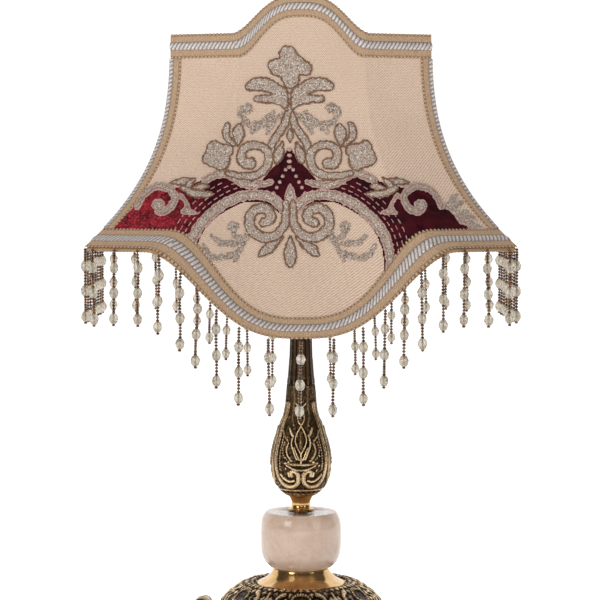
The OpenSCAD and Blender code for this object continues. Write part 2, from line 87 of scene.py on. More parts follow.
def grid_faces(rows, cols, wrap_rows=False, wrap_cols=False):
    """Quads over a grid of points stored row by row."""
    i = np.arange(rows if wrap_rows else rows - 1)
    j = np.arange(cols if wrap_cols else cols - 1)
    i, j = np.meshgrid(i, j, indexing="ij")
    i2, j2 = (i + 1) % rows, (j + 1) % cols
    return np.stack([i * cols + j, i * cols + j2, i2 * cols + j2, i2 * cols + j], -1).reshape(-1, 4)


def merge(parts):
    """One vertex array and one face list from several (verts, faces) pairs."""
    verts, faces, start = [], {}, 0
    for v, f in parts:
        v = np.asarray(v, float).reshape(-1, 3)
        for one in f if isinstance(f, list) else [f]:
            faces.setdefault(one.shape[1], []).append(one + start)
        verts.append(v)
        start += len(v)
    return np.concatenate(verts), [np.concatenate(f) for f in faces.values()]


def catmull(points, closed=False, step=0.6):
    """Smooth path through points, with about one sample every step mm."""
    p = np.asarray(points, float)
    n = len(p)
    if n == 2 and not closed:
        count = max(2, int(np.linalg.norm(p[1] - p[0]) / step))
        return p[0] + (p[1] - p[0]) * np.linspace(0, 1, count + 1)[:, None]
    out = []
    for i in range(n if closed else n - 1):
        if closed:
            a, b, c, d = p[(i - 1) % n], p[i], p[(i + 1) % n], p[(i + 2) % n]
        else:
            a, b, c, d = p[max(0, i - 1)], p[i], p[i + 1], p[min(n - 1, i + 2)]
        count = max(2, int(np.linalg.norm((c - b)[:2]) / step))
        t = np.linspace(0, 1, count, endpoint=False)[:, None]
        out.append(0.5 * (2 * b + (c - a) * t + (2 * a - 5 * b + 4 * c - d) * t**2 + (3 * b - a - 3 * c + d) * t**3))
    if not closed:
        out.append(p[-1:])
    return np.concatenate(out)


def unit(v):
    return v / np.linalg.norm(v, axis=-1, keepdims=True)


def run_along(path):
    """Distance from the start of a path to each of its points."""
    return np.concatenate([[0], np.cumsum(np.linalg.norm(np.diff(path, axis=0), axis=1))])


def bell(x, middle, half, power=2):
    """1 at the middle, falling to nearly nothing beyond half."""
    return np.exp(-(((x - middle) / half) ** power))


def tube(path, radius, sides, closed=False):
    """Round tube along a path."""
    path = np.asarray(path, float)
    ahead = np.roll(path, -1, 0) - np.roll(path, 1, 0)
    if not closed:
        ahead[0], ahead[-1] = path[1] - path[0], path[-1] - path[-2]
    ahead = unit(ahead)
    side = np.cross(ahead, [0.0, 0.0, 1.0])
    steep = np.linalg.norm(side, axis=1) < 0.05
    side[steep] = np.cross(ahead[steep], [1.0, 0.3, 0.0])
    side = unit(side)
    up = np.cross(side, ahead)
    a = np.arange(sides) * TAU / sides
    ring = np.cos(a)[None, :, None] * side[:, None] + np.sin(a)[None, :, None] * up[:, None]
    verts = (path[:, None] + ring * radius).reshape(-1, 3)
    faces = [grid_faces(len(path), sides, closed, True)]
    if not closed:
        last = (len(path) - 1) * sides
        faces += [np.arange(sides)[None, ::-1], last + np.arange(sides)[None]]
    return verts, faces


# ---- Materials ----


def rgb(r, g, b):
    """Linear colour from 0-255 display values."""
    return tuple(((c / 255 + 0.055) / 1.055) ** 2.4 if c > 10 else c / 255 / 12.92 for c in (r, g, b)) + (1.0,)


def add_node(tree, kind, inputs=None, **settings):
    """New node; inputs are values, or sockets of other nodes to link."""
    made = tree.nodes.new(kind)
    for key, value in settings.items():
        setattr(made, key, value)
    for key, value in (inputs or {}).items():
        if isinstance(value, bpy.types.NodeSocket):
            tree.links.new(value, made.inputs[key])
        else:
            made.inputs[key].default_value = value
    return made


class Look:
    """A Principled material with short calls for its nodes."""

    def __init__(self, name, **sockets):
        self.mat = bpy.data.materials.new(name)
        self.mat.use_nodes = True
        self.tree = self.mat.node_tree
        self.shader = self.tree.nodes["Principled BSDF"]
        for key, value in sockets.items():
            self.shader.inputs[key.replace("_", " ")].default_value = value
        self.at = self.coords()
        self.bump_to = None

    def node(self, kind, inputs=None, **settings):
        return add_node(self.tree, kind, inputs, **settings)

    def coords(self, which="Object", scale=(1000, 1000, 1000), turn=(0, 0, 0)):
        """Coordinates in mm (object space) or in the units of the UV map."""
        source = self.node("ShaderNodeTexCoord").outputs[which]
        mapping = self.node("ShaderNodeMapping", {"Vector": source, "Scale": scale, "Rotation": turn})
        return mapping.outputs["Vector"]

    def noise(self, size, detail=3.0, rough=0.55, distort=0.0, at=None):
        """Noise with features about size mm across."""
        made = self.node("ShaderNodeTexNoise", {
            "Vector": self.at if at is None else at, "Scale": 1 / size, "Detail": detail, "Roughness": rough,
            "Distortion": distort})
        return made.outputs["Fac"]

    def wave(self, at, period, direction, distort):
        """Bands every period mm; at a scale of 1 the texture has one every TAU / 20."""
        made = self.node("ShaderNodeTexWave", {
            "Vector": at, "Scale": TAU / period / 20, "Distortion": distort}, bands_direction=direction)
        return made.outputs["Fac"]

    def ramp(self, fac, stops):
        made = self.node("ShaderNodeValToRGB", {"Fac": fac})
        elements = made.color_ramp.elements
        while len(elements) < len(stops):
            elements.new(0.5)
        for element, (place, colour) in zip(elements, stops):
            element.position, element.color = place, colour
        return made.outputs["Color"]

    def grey(self, fac, lo, hi, out_lo=0.0, out_hi=1.0):
        """Values from lo to hi spread from out_lo to out_hi."""
        made = self.node("ShaderNodeMapRange", {
            "Value": fac, "From Min": lo, "From Max": hi, "To Min": out_lo, "To Max": out_hi})
        return made.outputs["Result"]

    def mix(self, fac, a, b):
        """Colour a where fac is 0 and b where it is 1."""
        return self.node("ShaderNodeMix", {0: fac, 6: a, 7: b}, data_type="RGBA").outputs[2]

    def math(self, kind, a, b=0.0):
        return self.node("ShaderNodeMath", {0: a, 1: b}, operation=kind).outputs[0]

    def value(self, name):
        """One of the mesh's own attributes."""
        return self.node("ShaderNodeAttribute", attribute_name=name).outputs["Fac"]

    def set(self, **sockets):
        for key, value in sockets.items():
            self.tree.links.new(value, self.shader.inputs[key.replace("_", " ")])

    def bump(self, height, depth):
        """Bump of the given depth in mm, over those set before it."""
        inputs = {"Height": height, "Distance": depth * MM}
        if self.bump_to is not None:
            inputs["Normal"] = self.bump_to
        self.bump_to = self.node("ShaderNodeBump", inputs).outputs["Normal"]
        self.tree.links.new(self.bump_to, self.shader.inputs["Normal"])
        return self


def fabric_look(name, colour, dark, period, sheen=0.15):
    """Fine twill with a faint cross rib and uneven yarn."""
    look = Look(name, Roughness=0.88, Sheen_Weight=sheen, Sheen_Roughness=0.5, Specular_IOR_Level=0.15)
    twill = look.wave(look.coords("UV", scale=(1, 1, 1), turn=(0, 0, 0.95)), period * 1.35, "X", distort=0.5)
    weft = look.wave(look.coords("UV", scale=(1, 1, 1)), period, "Y", distort=0.4)
    weave = look.math("ADD", look.math("MULTIPLY", twill, 0.62), look.math("MULTIPLY", weft, 0.38))
    slub = look.noise(1.0, detail=3, at=look.coords("UV", scale=(0.5, 1.1, 1)))
    tone = look.math("ADD", look.math("MULTIPLY", weave, 0.5), look.math("MULTIPLY", slub, 0.6))
    mottle = look.noise(38, detail=4)
    base = look.ramp(tone, [(0.15, dark), (0.72, colour)])
    look.set(Base_Color=look.mix(look.grey(mottle, 0.35, 0.7, 0.0, 0.12), base, dark))
    look.bump(weave, 0.12).bump(slub, 0.05)
    return look.mat


def velvet_look():
    """Crushed pile, dark red, with painted sheen: a brighter red with lighter specks where the painted_sheen
    attribute is set, as if light fell there.
    """
    look = Look("velvet", Roughness=0.72, Specular_IOR_Level=0.12, Sheen_Weight=0.5, Sheen_Roughness=0.34,
                Sheen_Tint=rgb(180, 36, 48))
    crush = look.noise(9, detail=3, distort=1.2)
    pile = look.noise(0.5, detail=2)
    deep = look.ramp(crush, [(0.3, rgb(30, 3, 10)), (0.7, rgb(76, 8, 22))])
    # Painted sheen: a lit-looking lighter red, with lighter specks, used where the painted_sheen attribute is set
    lit_velvet = look.ramp(crush, [(0.36, rgb(58, 6, 15)), (0.64, rgb(160, 32, 46))])
    lit_velvet = look.mix(look.grey(look.noise(1.3, detail=2), 0.5, 0.7, 0.0, 0.6), lit_velvet, rgb(206, 84, 92))
    look.set(Base_Color=look.mix(look.value("painted_sheen"), deep, lit_velvet))
    look.bump(crush, 0.9).bump(pile, 0.12)
    return look.mat


def chenille_look():
    """Fuzzy silver-grey yarn with painted glints and painted shade in small random spots, and a darker twisted cord
    where the attribute says so.
    """
    look = Look("chenille", Roughness=0.55, Specular_IOR_Level=0.5, Sheen_Weight=0.2)
    tuft = look.noise(0.55, detail=3, rough=0.7)
    cells = look.node("ShaderNodeTexVoronoi", {"Vector": look.at, "Scale": 2.0}).outputs["Color"]
    glint = look.node("ShaderNodeSeparateColor", {"Color": cells})
    # Painted glints and painted shade: random near-white and darker spots in the yarn's colour; the glint spots also
    # make it partly metallic
    painted_glint = look.grey(glint.outputs[0], 0.78, 0.95)
    shade = look.grey(glint.outputs[1], 0.7, 0.86)
    yarn = look.ramp(tuft, [(0.3, rgb(116, 90, 76)), (0.5, rgb(184, 160, 142)), (0.7, rgb(222, 206, 190))])
    yarn = look.mix(shade, yarn, rgb(108, 84, 74))
    yarn = look.mix(painted_glint, yarn, rgb(248, 242, 232))
    cord = look.ramp(look.noise(0.8, detail=2), [(0.3, rgb(78, 48, 34)), (0.7, rgb(156, 112, 76))])
    pale = look.ramp(look.noise(0.7),
                     [(0.3, rgb(128, 74, 70)), (0.5, rgb(196, 156, 146)), (0.7, rgb(238, 212, 202))])
    base = look.mix(look.value("pale"), look.mix(look.value("cord"), yarn, cord), pale)
    look.set(Base_Color=base, Metallic=look.math("MULTIPLY", painted_glint, 0.6))
    look.bump(tuft, 0.5)
    return look.mat


def braid_look(name, light, dark, groove_shade=(60, 40, 28), metallic=0.0, roughness=0.7):
    """Thread with painted shade in the grooves between its turns, where the groove_shade attribute says so."""
    look = Look(name, Roughness=roughness, Metallic=metallic, Specular_IOR_Level=0.35)
    thread = look.noise(0.7, detail=3, rough=0.7)
    base = look.ramp(thread, [(0.3, dark), (0.68, light)])
    look.set(Base_Color=look.mix(look.value("groove_shade"), base, rgb(*groove_shade)))
    look.bump(thread, 0.25)
    return look.mat


def brass_look(name, worn, dark, roughness, relief):
    """Brass; where relief is set, patina gathers in the low places of the cast ornament."""
    look = Look(name, Metallic=1.0, Roughness=roughness)
    cloud = look.noise(7, detail=4)
    fine = look.noise(0.9, detail=3)
    if relief:
        level = look.math("ADD", look.value("relief"), look.grey(fine, 0.3, 0.7, -0.16, 0.16))
        level = look.math("ADD", level, look.grey(cloud, 0.3, 0.7, -0.12, 0.12))
        base = look.ramp(level, [(0.08, rgb(36, 27, 19)), (0.36, dark), (0.7, worn), (1.0, rgb(226, 198, 156))])
        rough = look.grey(level, 0.1, 0.8, 0.4, roughness)
        look.bump(fine, 0.3)
    else:
        base = look.mix(look.grey(cloud, 0.35, 0.7, 0, 0.55), worn, dark)
        rough = look.grey(look.noise(2.5, detail=4), 0.3, 0.7, roughness * 0.7, roughness * 1.5)
        look.bump(look.noise(1.6, detail=2), 0.02)
    look.set(Base_Color=base, Roughness=rough)
    return look.mat


def marble_look():
    """Polished pinkish marble with faint veins and clouds."""
    look = Look("marble", Roughness=0.14, Coat_Weight=0.22, Coat_Roughness=0.03, Subsurface_Weight=0.12,
                Subsurface_Scale=0.003, Specular_IOR_Level=0.5)
    cloud = look.noise(16, detail=6, rough=0.6, distort=0.8)
    speck = look.noise(2.2, detail=4)
    vein = look.noise(11, detail=5, distort=2.2)
    line = look.math("ABSOLUTE", look.math("SUBTRACT", vein, 0.5))
    base = look.ramp(cloud, [(0.3, rgb(196, 166, 146)), (0.55, rgb(211, 185, 166)), (0.75, rgb(220, 198, 180))])
    base = look.mix(look.grey(line, 0.0, 0.03, 0.16, 0.0), base, rgb(170, 134, 112))
    base = look.mix(look.grey(speck, 0.55, 0.75, 0.0, 0.14), base, rgb(228, 210, 194))
    look.set(Base_Color=base, Roughness=look.grey(speck, 0.3, 0.7, 0.1, 0.2))
    return look.mat


def glass_bead_look():
    """Cloudy champagne glass."""
    look = Look("bead_glass", Roughness=0.06, IOR=1.5, Transmission_Weight=0.68, Coat_Weight=0.3)
    base = look.ramp(look.noise(3.0, detail=2), [(0.3, rgb(202, 188, 166)), (0.7, rgb(238, 230, 214))])
    look.set(Base_Color=base, Roughness=look.grey(look.noise(1.2), 0.3, 0.7, 0.05, 0.2))
    return look.mat


def seed_look():
    """Small bronze beads."""
    look = Look("seed_glass", Metallic=0.7, Roughness=0.24, Coat_Weight=0.5)
    mottle = look.noise(1.8, detail=1)
    look.set(Base_Color=look.ramp(mottle, [(0.35, rgb(46, 25, 14)), (0.64, rgb(144, 98, 58))]))
    return look.mat


def plain_look(name, colour, dark, roughness, metallic=0.0, size=3.0, depth=0.02, **sockets):
    """Moulded or machined surface: slight mottling of colour, gloss and relief."""
    look = Look(name, Metallic=metallic, Roughness=roughness, **sockets)
    mottle = look.noise(size, detail=4)
    fine = look.noise(size / 5, detail=2)
    look.set(Base_Color=look.mix(look.grey(mottle, 0.3, 0.7), dark, colour),
             Roughness=look.grey(fine, 0.3, 0.7, roughness * 0.8, min(1.0, roughness * 1.25)))
    look.bump(fine, depth)
    return look.mat


def tape_look():
    """White cotton tape wound round a wire."""
    look = Look("white_wire", Roughness=0.8, Specular_IOR_Level=0.2)
    turn = look.wave(look.coords(turn=(0.5, 0.4, 0.3)), 4.5, "X", distort=0.6)
    look.set(Base_Color=look.mix(look.grey(turn, 0.0, 0.25), rgb(196, 190, 178), rgb(238, 234, 224)))
    look.bump(turn, 0.3).bump(look.noise(0.5), 0.08)
    return look.mat


CREAM = fabric_look("cream_fabric", rgb(236, 210, 188), rgb(160, 130, 108), 1.05)
COTTON = fabric_look("lining_cotton", rgb(240, 234, 222), rgb(212, 202, 186), 0.7, sheen=0.05)
VELVET = velvet_look()
CHENILLE = chenille_look()
BRAID = braid_look("braid_beige", rgb(220, 188, 154), rgb(158, 124, 94), groove_shade=(78, 52, 36))
SILVER = braid_look("braid_silver", rgb(250, 246, 242), rgb(170, 152, 142), groove_shade=(84, 56, 46), metallic=0.3,
                    roughness=0.32)
HEM = braid_look("hem_tape", rgb(198, 164, 124), rgb(134, 102, 74))
BRASS = brass_look("aged_brass", rgb(128, 101, 70), rgb(78, 61, 43), 0.1, True)
BRASS_PLAIN = brass_look("aged_brass_plain", rgb(140, 112, 72), rgb(84, 64, 42), 0.26, False)
POLISHED = brass_look("polished_brass", rgb(222, 182, 124), rgb(176, 138, 88), 0.12, False)
MARBLE = marble_look()
BEAD = glass_bead_look()
SEED_BEAD = seed_look()
TAPE = tape_look()
STEEL = plain_look("zinc_steel", rgb(196, 196, 194), rgb(150, 150, 148), 0.35, 1.0)
IRON = plain_look("cast_iron", rgb(70, 68, 66), rgb(42, 41, 40), 0.6, 0.9, size=2.0, depth=0.15)
FELT = plain_look("felt", rgb(44, 62, 48), rgb(26, 38, 30), 0.95, size=1.0, depth=0.3, Sheen_Weight=0.3)
RUBBER = plain_look("black_rubber", rgb(34, 34, 34), rgb(22, 22, 22), 0.6)
BAKELITE = plain_look("ivory_bakelite", rgb(232, 222, 200), rgb(218, 204, 178), 0.3, size=8.0, Coat_Weight=0.2)
BULB = plain_look("bulb_glass", rgb(248, 248, 244), rgb(240, 240, 236), 0.35, size=6.0,
                  Transmission_Weight=0.35, IOR=1.45)

SLOT_LOOKS = {
    "aged_brass": BRASS_PLAIN, "polished_brass": POLISHED, "marble": MARBLE, "felt": FELT, "zinc_steel": STEEL,
    "cast_iron": IRON, "black_rubber": RUBBER, "ivory_bakelite": BAKELITE, "bulb_glass": BULB,
    "white_wire": TAPE, "cream_fabric": CREAM, "lining_cotton": COTTON, "burgundy_velvet": VELVET,
    "metallic_braid": BRAID, "bead_glass": BEAD,
}
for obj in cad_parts.values():
    for place in obj.material_slots:
        place.material = SLOT_LOOKS[place.material.name.split(".")[0]]


# ---- Shade surface, as in the CAD ----

TOP_RIB, TOP_RIDGE = (44, 65), (90, 47)
LOW_RIB, LOW_RIDGE = (93, 107), (147.5, 78)
TOP_Z, HUMP_H, HUMP_HALF = 453.5, 26, 48
LOW_Z, SCALLOP_H, SCALLOP_HALF = 307.5, 61, 106
FLARE = 2.75
BRAID_W = 15


def octagon(rib, ridge):
    """Corners of a plan, and how far each of them moves when every face moves out by 1."""
    (a, b), (c, d) = rib, ridge
    corners = np.array([[-a, -b], [a, -b], [c, -d], [c, d], [a, b], [-a, b], [-c, d], [-c, -d]], float)
    along = np.roll(corners, -1, 0) - corners
    normal = unit(np.stack([along[:, 1], -along[:, 0]], 1))
    before = np.roll(normal, 1, 0)
    return corners, (before + normal) / (1 + (before * normal).sum(1))[:, None]


TOP_PLAN, LOW_PLAN = octagon(TOP_RIB, TOP_RIDGE), octagon(LOW_RIB, LOW_RIDGE)


def on_plan(plan, u, d):
    """Points on a plan offset outward by d: u runs from 0 to 8, with whole numbers at the corners."""
    plan, mitre = plan
    u = np.asarray(u, float) % 8
    i = np.minimum(np.floor(u).astype(int), 7)
    f = (u - i)[..., None]
    j = (i + 1) % 8
    d = np.asarray(d, float)[..., None]
    return (plan[i] + d * mitre[i]) * (1 - f) + (plan[j] + d * mitre[j]) * f


def wave(x, half, roundness):
    """Hump from 1 in the middle down to 0 from half outward."""
    return (1 + np.cos(math.pi * np.minimum(1, np.abs(x) / half) ** roundness)) / 2


def top_wave(u, half):
    return wave(on_plan(TOP_PLAN, u, 0)[..., 0], half, 1.5)


def low_wave(u, half):
    return wave(on_plan(LOW_PLAN, u, 0)[..., 0], half, 1.45)


def top_z(u):
    return TOP_Z + HUMP_H * top_wave(u, HUMP_HALF)


def low_z(u):
    return LOW_Z - SCALLOP_H * low_wave(u, SCALLOP_HALF)


def shade_at(u, t, d):
    """Points of the shade: t is 0 at the top edge and 1 at the lower edge; d is the offset outward."""
    u, t, d = np.broadcast_arrays(np.asarray(u, float), np.asarray(t, float), np.asarray(d, float))
    a, b = on_plan(TOP_PLAN, u, d), on_plan(LOW_PLAN, u, d)
    s = (np.sign(t) * np.abs(t) ** FLARE)[..., None]
    xy = a + (b - a) * s
    z = top_z(u) + (low_z(u) - top_z(u)) * t
    return np.concatenate([xy, z[..., None]], -1)


def t_at(u, z):
    """How far down the shade height z is at u."""
    return (top_z(u) - z) / (top_z(u) - low_z(u))


def top_braid_t(u):
    return t_at(u, TOP_Z - BRAID_W - 1 + (HUMP_H + 1.5) * top_wave(u, HUMP_HALF - 5))


def low_braid_t(u):
    return t_at(u, LOW_Z + 0.8 * BRAID_W - (SCALLOP_H - 1.5) * low_wave(u, SCALLOP_HALF - 6))


def even(path_of, start, end, step, samples=4000):
    """Values between start and end that are step mm apart along path_of(value)."""
    u = np.linspace(start, end, samples)
    run = run_along(path_of(u))
    s = np.linspace(0, run[-1], int(run[-1] / step) + 1)
    return np.interp(s, run, u), s


# ---- Cover and lining ----

COVER_THICK = 0.8
LINING_OUT, LINING_IN = -6.5, -7.1  # offsets of its two skins from the shade surface
LINING_TOP, LINING_SHORT = 0.012, 7  # where it starts, as a share of the way down, and how far it ends above the edge
# Width, length and area of the flat cloth, in metres
WIDE, NARROW = (0.35, 0.23, 0.0545), (0.18, 0.18, 0.0225)
COVERS = {"cover_front": (7, 10, WIDE), "cover_back": (3, 6, WIDE), "cover_left": (6, 7, NARROW),
          "cover_right": (2, 3, NARROW)}


def rib_relief(u):
    """The cloth stands up a little over each frame rib."""
    return 0.25 * bell(u, np.round(u), 0.03)


def cloth(name, u0, u1, t0, t1, outer, inner, material, rows=90, wrap=False, relief=rib_relief):
    """Thin closed cloth over the shade from u0 to u1 and from t0 down to t1(u), with UVs in mm along and down it."""
    u, s = even(lambda v: shade_at(v, 0.75, 0), u0, u1, 1.6)
    if wrap:
        u, s = u[:-1], s[:-1]
    else:
        u[-1] -= 1e-4
    t = np.linspace(0, 1, rows)
    uu, tt = np.meshgrid(u, t, indexing="ij")
    tt = t0 + (t1(uu) - t0) * tt
    lift = relief(uu) * np.sin(np.clip(tt, 0, 1) * math.pi)
    skins = [shade_at(uu, tt, outer + lift), shade_at(uu, tt, inner + lift)]
    n = uu.size
    faces = grid_faces(len(u), rows, wrap_rows=wrap)
    a = np.arange(len(u)) * rows
    b = np.roll(a, -1)
    if not wrap:
        a, b = a[:-1], b[:-1]
    top = np.stack([a, a + n, b + n, b], -1)
    low_edge = np.stack([a, b, b + n, a + n], -1) + rows - 1
    edges = [top, low_edge]
    if not wrap:
        j = np.arange(rows - 1)
        k = j + (len(u) - 1) * rows
        edges += [np.stack([j, j + 1, j + 1 + n, j + n], -1), np.stack([k, k + n, k + 1 + n, k + 1], -1)]
    uv = np.stack([np.broadcast_to(s[:, None], uu.shape), skins[0][..., 2]], -1).reshape(-1, 2)
    return make(name, np.concatenate([k.reshape(-1, 3) for k in skins]),
                np.concatenate([faces[:, ::-1], faces + n, *edges]), material, "shade", (name.split(".")[0],),
                uv=np.concatenate([uv, uv]))


for name, (first, last, (width, length, area)) in COVERS.items():
    piece = cloth(name + ".cloth", first, last, 0.0, lambda u: 1.0, 0.0, -COVER_THICK, CREAM)


def gathers(u):
    """Shallow folds of the lining, pulled together along the wires."""
    return 0.28 * np.sin(u * 61) + 0.16 * np.sin(u * 143 + 1)


lining = cloth("lining.cotton", 0, 8, LINING_TOP, lambda u: t_at(u, low_z(u) + LINING_SHORT), LINING_OUT,
               LINING_IN, COTTON, rows=50, wrap=True, relief=gathers)


# ---- Wire frame ----

WIRE_AT, WIRE_R, EDGE_WIRE_IN = -4.1, 1.3, 3
ring_u = even(lambda v: shade_at(v, 0.5, 0), 0, 8, 2.5)[0][:-1]


def wire_piece(name, paths, closed):
    make(name + ".wrapped", *merge([tube(path, WIRE_R, 12, closed) for path in paths]), TAPE, "shade", (name,))


wire_piece("frame_top_wire", [shade_at(ring_u, t_at(ring_u, top_z(ring_u) - EDGE_WIRE_IN), WIRE_AT)], True)
wire_piece("frame_bottom_wire", [shade_at(ring_u, t_at(ring_u, low_z(ring_u) + EDGE_WIRE_IN), WIRE_AT)], True)
rib_paths = []
for corner in range(8):
    inset = EDGE_WIRE_IN + WIRE_R
    ends = t_at(corner, top_z(corner) - inset), t_at(corner, low_z(corner) + inset + 0.8)
    rib_paths.append(shade_at(corner, np.linspace(*ends, 60), WIRE_AT))
wire_piece("frame_ribs", rib_paths, False)


# ---- Braid ----

BRAID_ACROSS, BRAID_STEP = 30, 0.5  # cells across it, and their length in mm
SILVER_HALF = 0.32  # share of the half width taken by the silver rope
RIB_PITCH, PICOT_PITCH, GRAIN_PITCH = 1.7, 2.8, 2.9


def braid_form(s, a):
    """Height over the cloth and painted shade of the braid: ribbed bands, a twisted silver rope along the middle
    and a row of picots along each edge."""
    rib = np.abs(np.sin(math.pi * (s / RIB_PITCH + np.abs(a) * 0.8)))
    lane = a / SILVER_HALF
    crown = np.sqrt(np.clip(1 - lane**2, 0, 1))
    grain = np.abs(np.sin(math.pi * (s / GRAIN_PITCH + 0.55 * lane)))
    loop = np.abs(np.sin(math.pi * s / PICOT_PITCH))
    silver, edge = np.abs(a) < SILVER_HALF, np.abs(a) > 0.9
    height = np.where(silver, 0.65 + crown * (0.35 + 0.55 * grain**0.7), 0.55 + 0.2 * rib)
    # Painted shade: dark between the turns of the rope, more towards its sides, between the ribs of the bands and in
    # the gaps between the picots, with a dark line along the rope's edges and near each outer edge
    groove_shade = np.where(silver, np.clip(1.25 - 1.9 * grain * (0.55 + 0.45 * crown), 0, 1), 0.3 * (1 - rib))
    seam = bell(np.abs(a), SILVER_HALF, 0.035) + 0.7 * bell(np.abs(a), 0.87, 0.03)
    groove_shade = np.maximum(groove_shade, 0.75 * seam)
    return np.where(edge, 0.3 + 0.4 * loop, height), np.where(edge, np.clip(1.3 - 1.9 * loop, 0, 1), groove_shade)


def braid_piece(s, place, wrap):
    """Strip of braid; place(a, height) gives its points, a running from -1 to 1 across."""
    a = np.linspace(-1, 1, BRAID_ACROSS + 1)
    ss, aa = np.meshgrid(s, a, indexing="ij")
    picot = 1 + 0.1 * (np.abs(np.sin(math.pi * ss / PICOT_PITCH)) ** 0.7 - 0.3) * (np.abs(aa) > 0.96)
    height, groove_shade = braid_form(ss, aa)
    face = place(aa * picot, height)
    rim = place((aa * picot)[:, [0, -1]], np.full((len(s), 2), 0.05))
    points = np.concatenate([rim[:, :1], face, rim[:, 1:]], 1)
    cols = points.shape[1]
    faces = grid_faces(len(s), cols, wrap_rows=wrap)
    kinds = np.zeros((len(s) if wrap else len(s) - 1, cols - 1), int)
    kinds[:, 1:-1] = np.abs(a[1:] + a[:-1]) / 2 < SILVER_HALF
    groove_shade = np.concatenate([groove_shade[:, :1], groove_shade, groove_shade[:, -1:]], 1)
    return points.reshape(-1, 3), faces, kinds.reshape(-1), groove_shade.reshape(-1)


def edge_braid(name, t_low, t_high, out_first):
    u, s = even(lambda v: shade_at(v, t_low(v) if out_first else t_high(v), 0), 0, 8, BRAID_STEP, 16000)
    u, s = u[:-1], s[:-1]
    t0, t1 = t_low(u), t_high(u)

    def place(a, h):
        k = np.broadcast_to(np.arange(len(u))[:, None], a.shape)
        return shade_at(u[k], t0[k] + (t1 - t0)[k] * (a + 1) / 2, h)

    points, faces, kinds, groove_shade = braid_piece(s, place, True)
    make(name + ".woven", points, faces, [BRAID, SILVER], "shade", (name,), kinds=kinds, tints={"groove_shade": groove_shade})


edge_braid("top_braid", lambda u: 0.0 * u, top_braid_t, False)
edge_braid("bottom_braid", low_braid_t, lambda u: 1 + 0.0 * u, True)


def ridge_strip(corner):
    before, after = (corner + 7) % 8, (corner + 1) % 8
    ends = top_braid_t(corner) + 0.004, low_braid_t(corner) - 0.004
    t, s = even(lambda v: shade_at(corner, v, 0), *ends, BRAID_STEP)
    here = shade_at(corner, t, 0)
    left, right = (BRAID_W / 2 / np.linalg.norm(shade_at(u, t, 0) - here, axis=1) for u in (before, after))

    def place(a, h):
        k = np.broadcast_to(np.arange(len(t))[:, None], a.shape)
        return shade_at(corner + a * np.where(a < 0, left[k], right[k]), t[k], h)

    return braid_piece(s, place, False)


strips = [ridge_strip(corner) for corner in (2, 3, 6, 7)]
kinds, groove_shade = (np.concatenate([strip[k] for strip in strips]) for k in (2, 3))
make("ridge_braids.woven", *merge([strip[:2] for strip in strips]), [BRAID, SILVER], "shade", ("ridge_braids",),
     kinds=kinds, tints={"groove_shade": groove_shade})


# ---- Hem tape under the lower edge, from which the strands hang ----

TAPE_OUT, TAPE_IN, TAPE_UP = -0.9, -1.7, 5
hem_u, hem_s = even(lambda v: shade_at(v, 1.0, 0), 0, 8, 0.65, 16000)
hem_u, hem_s = hem_u[:-1], hem_s[:-1]
hem_drop = 0.4 + 3.2 * (1 - low_wave(hem_u, SCALLOP_HALF))
loops = np.abs(np.sin(math.pi * hem_s / PICOT_PITCH))
section = []  # down the outer skin and back up the inner one
for offset, order in ((TAPE_OUT, 1), (TAPE_IN, -1)):
    upper = shade_at(hem_u, t_at(hem_u, low_z(hem_u) + TAPE_UP), offset)
    edge = shade_at(hem_u, 1.0, offset)
    drops = [edge - np.stack([0 * loops, 0 * loops, hem_drop * f - 0.4 * loops * (f == 1)], -1)
             for f in (0.25, 0.5, 0.75, 1.0)]
    section += [upper, edge, *drops][::order]
points = np.stack(section, 1)
groove_shade = np.zeros(points.shape[:2])
# Painted shadow under the braid: the outer skin's rows at and just below the shade's lower edge are coloured dark
groove_shade[:, 1], groove_shade[:, 2] = 1.0, 0.55
make("fringe_tape.woven", points, grid_faces(len(hem_u), len(section), True, True), HEM, "shade",
     ("fringe_tape",), tints={"groove_shade": groove_shade})


# ---- Velvet and embroidery ----


def front_place(x, z):
    """u (from -1 at the left ridge to 2 at the right one) and t of the point of the front seen at x, z."""
    low, high = np.full(x.shape, -1.0), np.full(x.shape, 1.9999)
    for _ in range(26):
        mid = (low + high) / 2
        too_low = shade_at(mid, np.clip(t_at(mid, z), 0, 1), 0)[..., 0] < x
        low, high = np.where(too_low, mid, low), np.where(too_low, high, mid)
    u = (low + high) / 2
    return u, t_at(u, z)


PATH_STEP = 0.8


def smoothed(rng, shape, rounds):
    """Random field with a spread of 1, its features some 2 * rounds cells across."""
    field = rng.normal(0, 1, shape)
    for _ in range(rounds):
        field = sum(np.roll(field, (i, j), (0, 1)) for i in (-1, 0, 1) for j in (-1, 0, 1))
    return field / field.std()


def nearest(x, z, a, b):
    """Distance of points from the segment from a to b, and how far along it, from 0 to 1, they are nearest."""
    dx, dz = b[0] - a[0], b[1] - a[1]
    f = np.clip(((x - a[0]) * dx + (z - a[1]) * dz) / np.maximum(dx * dx + dz * dz, 1e-9), 0, 1)
    return np.hypot(x - a[0] - f * dx, z - a[1] - f * dz), f


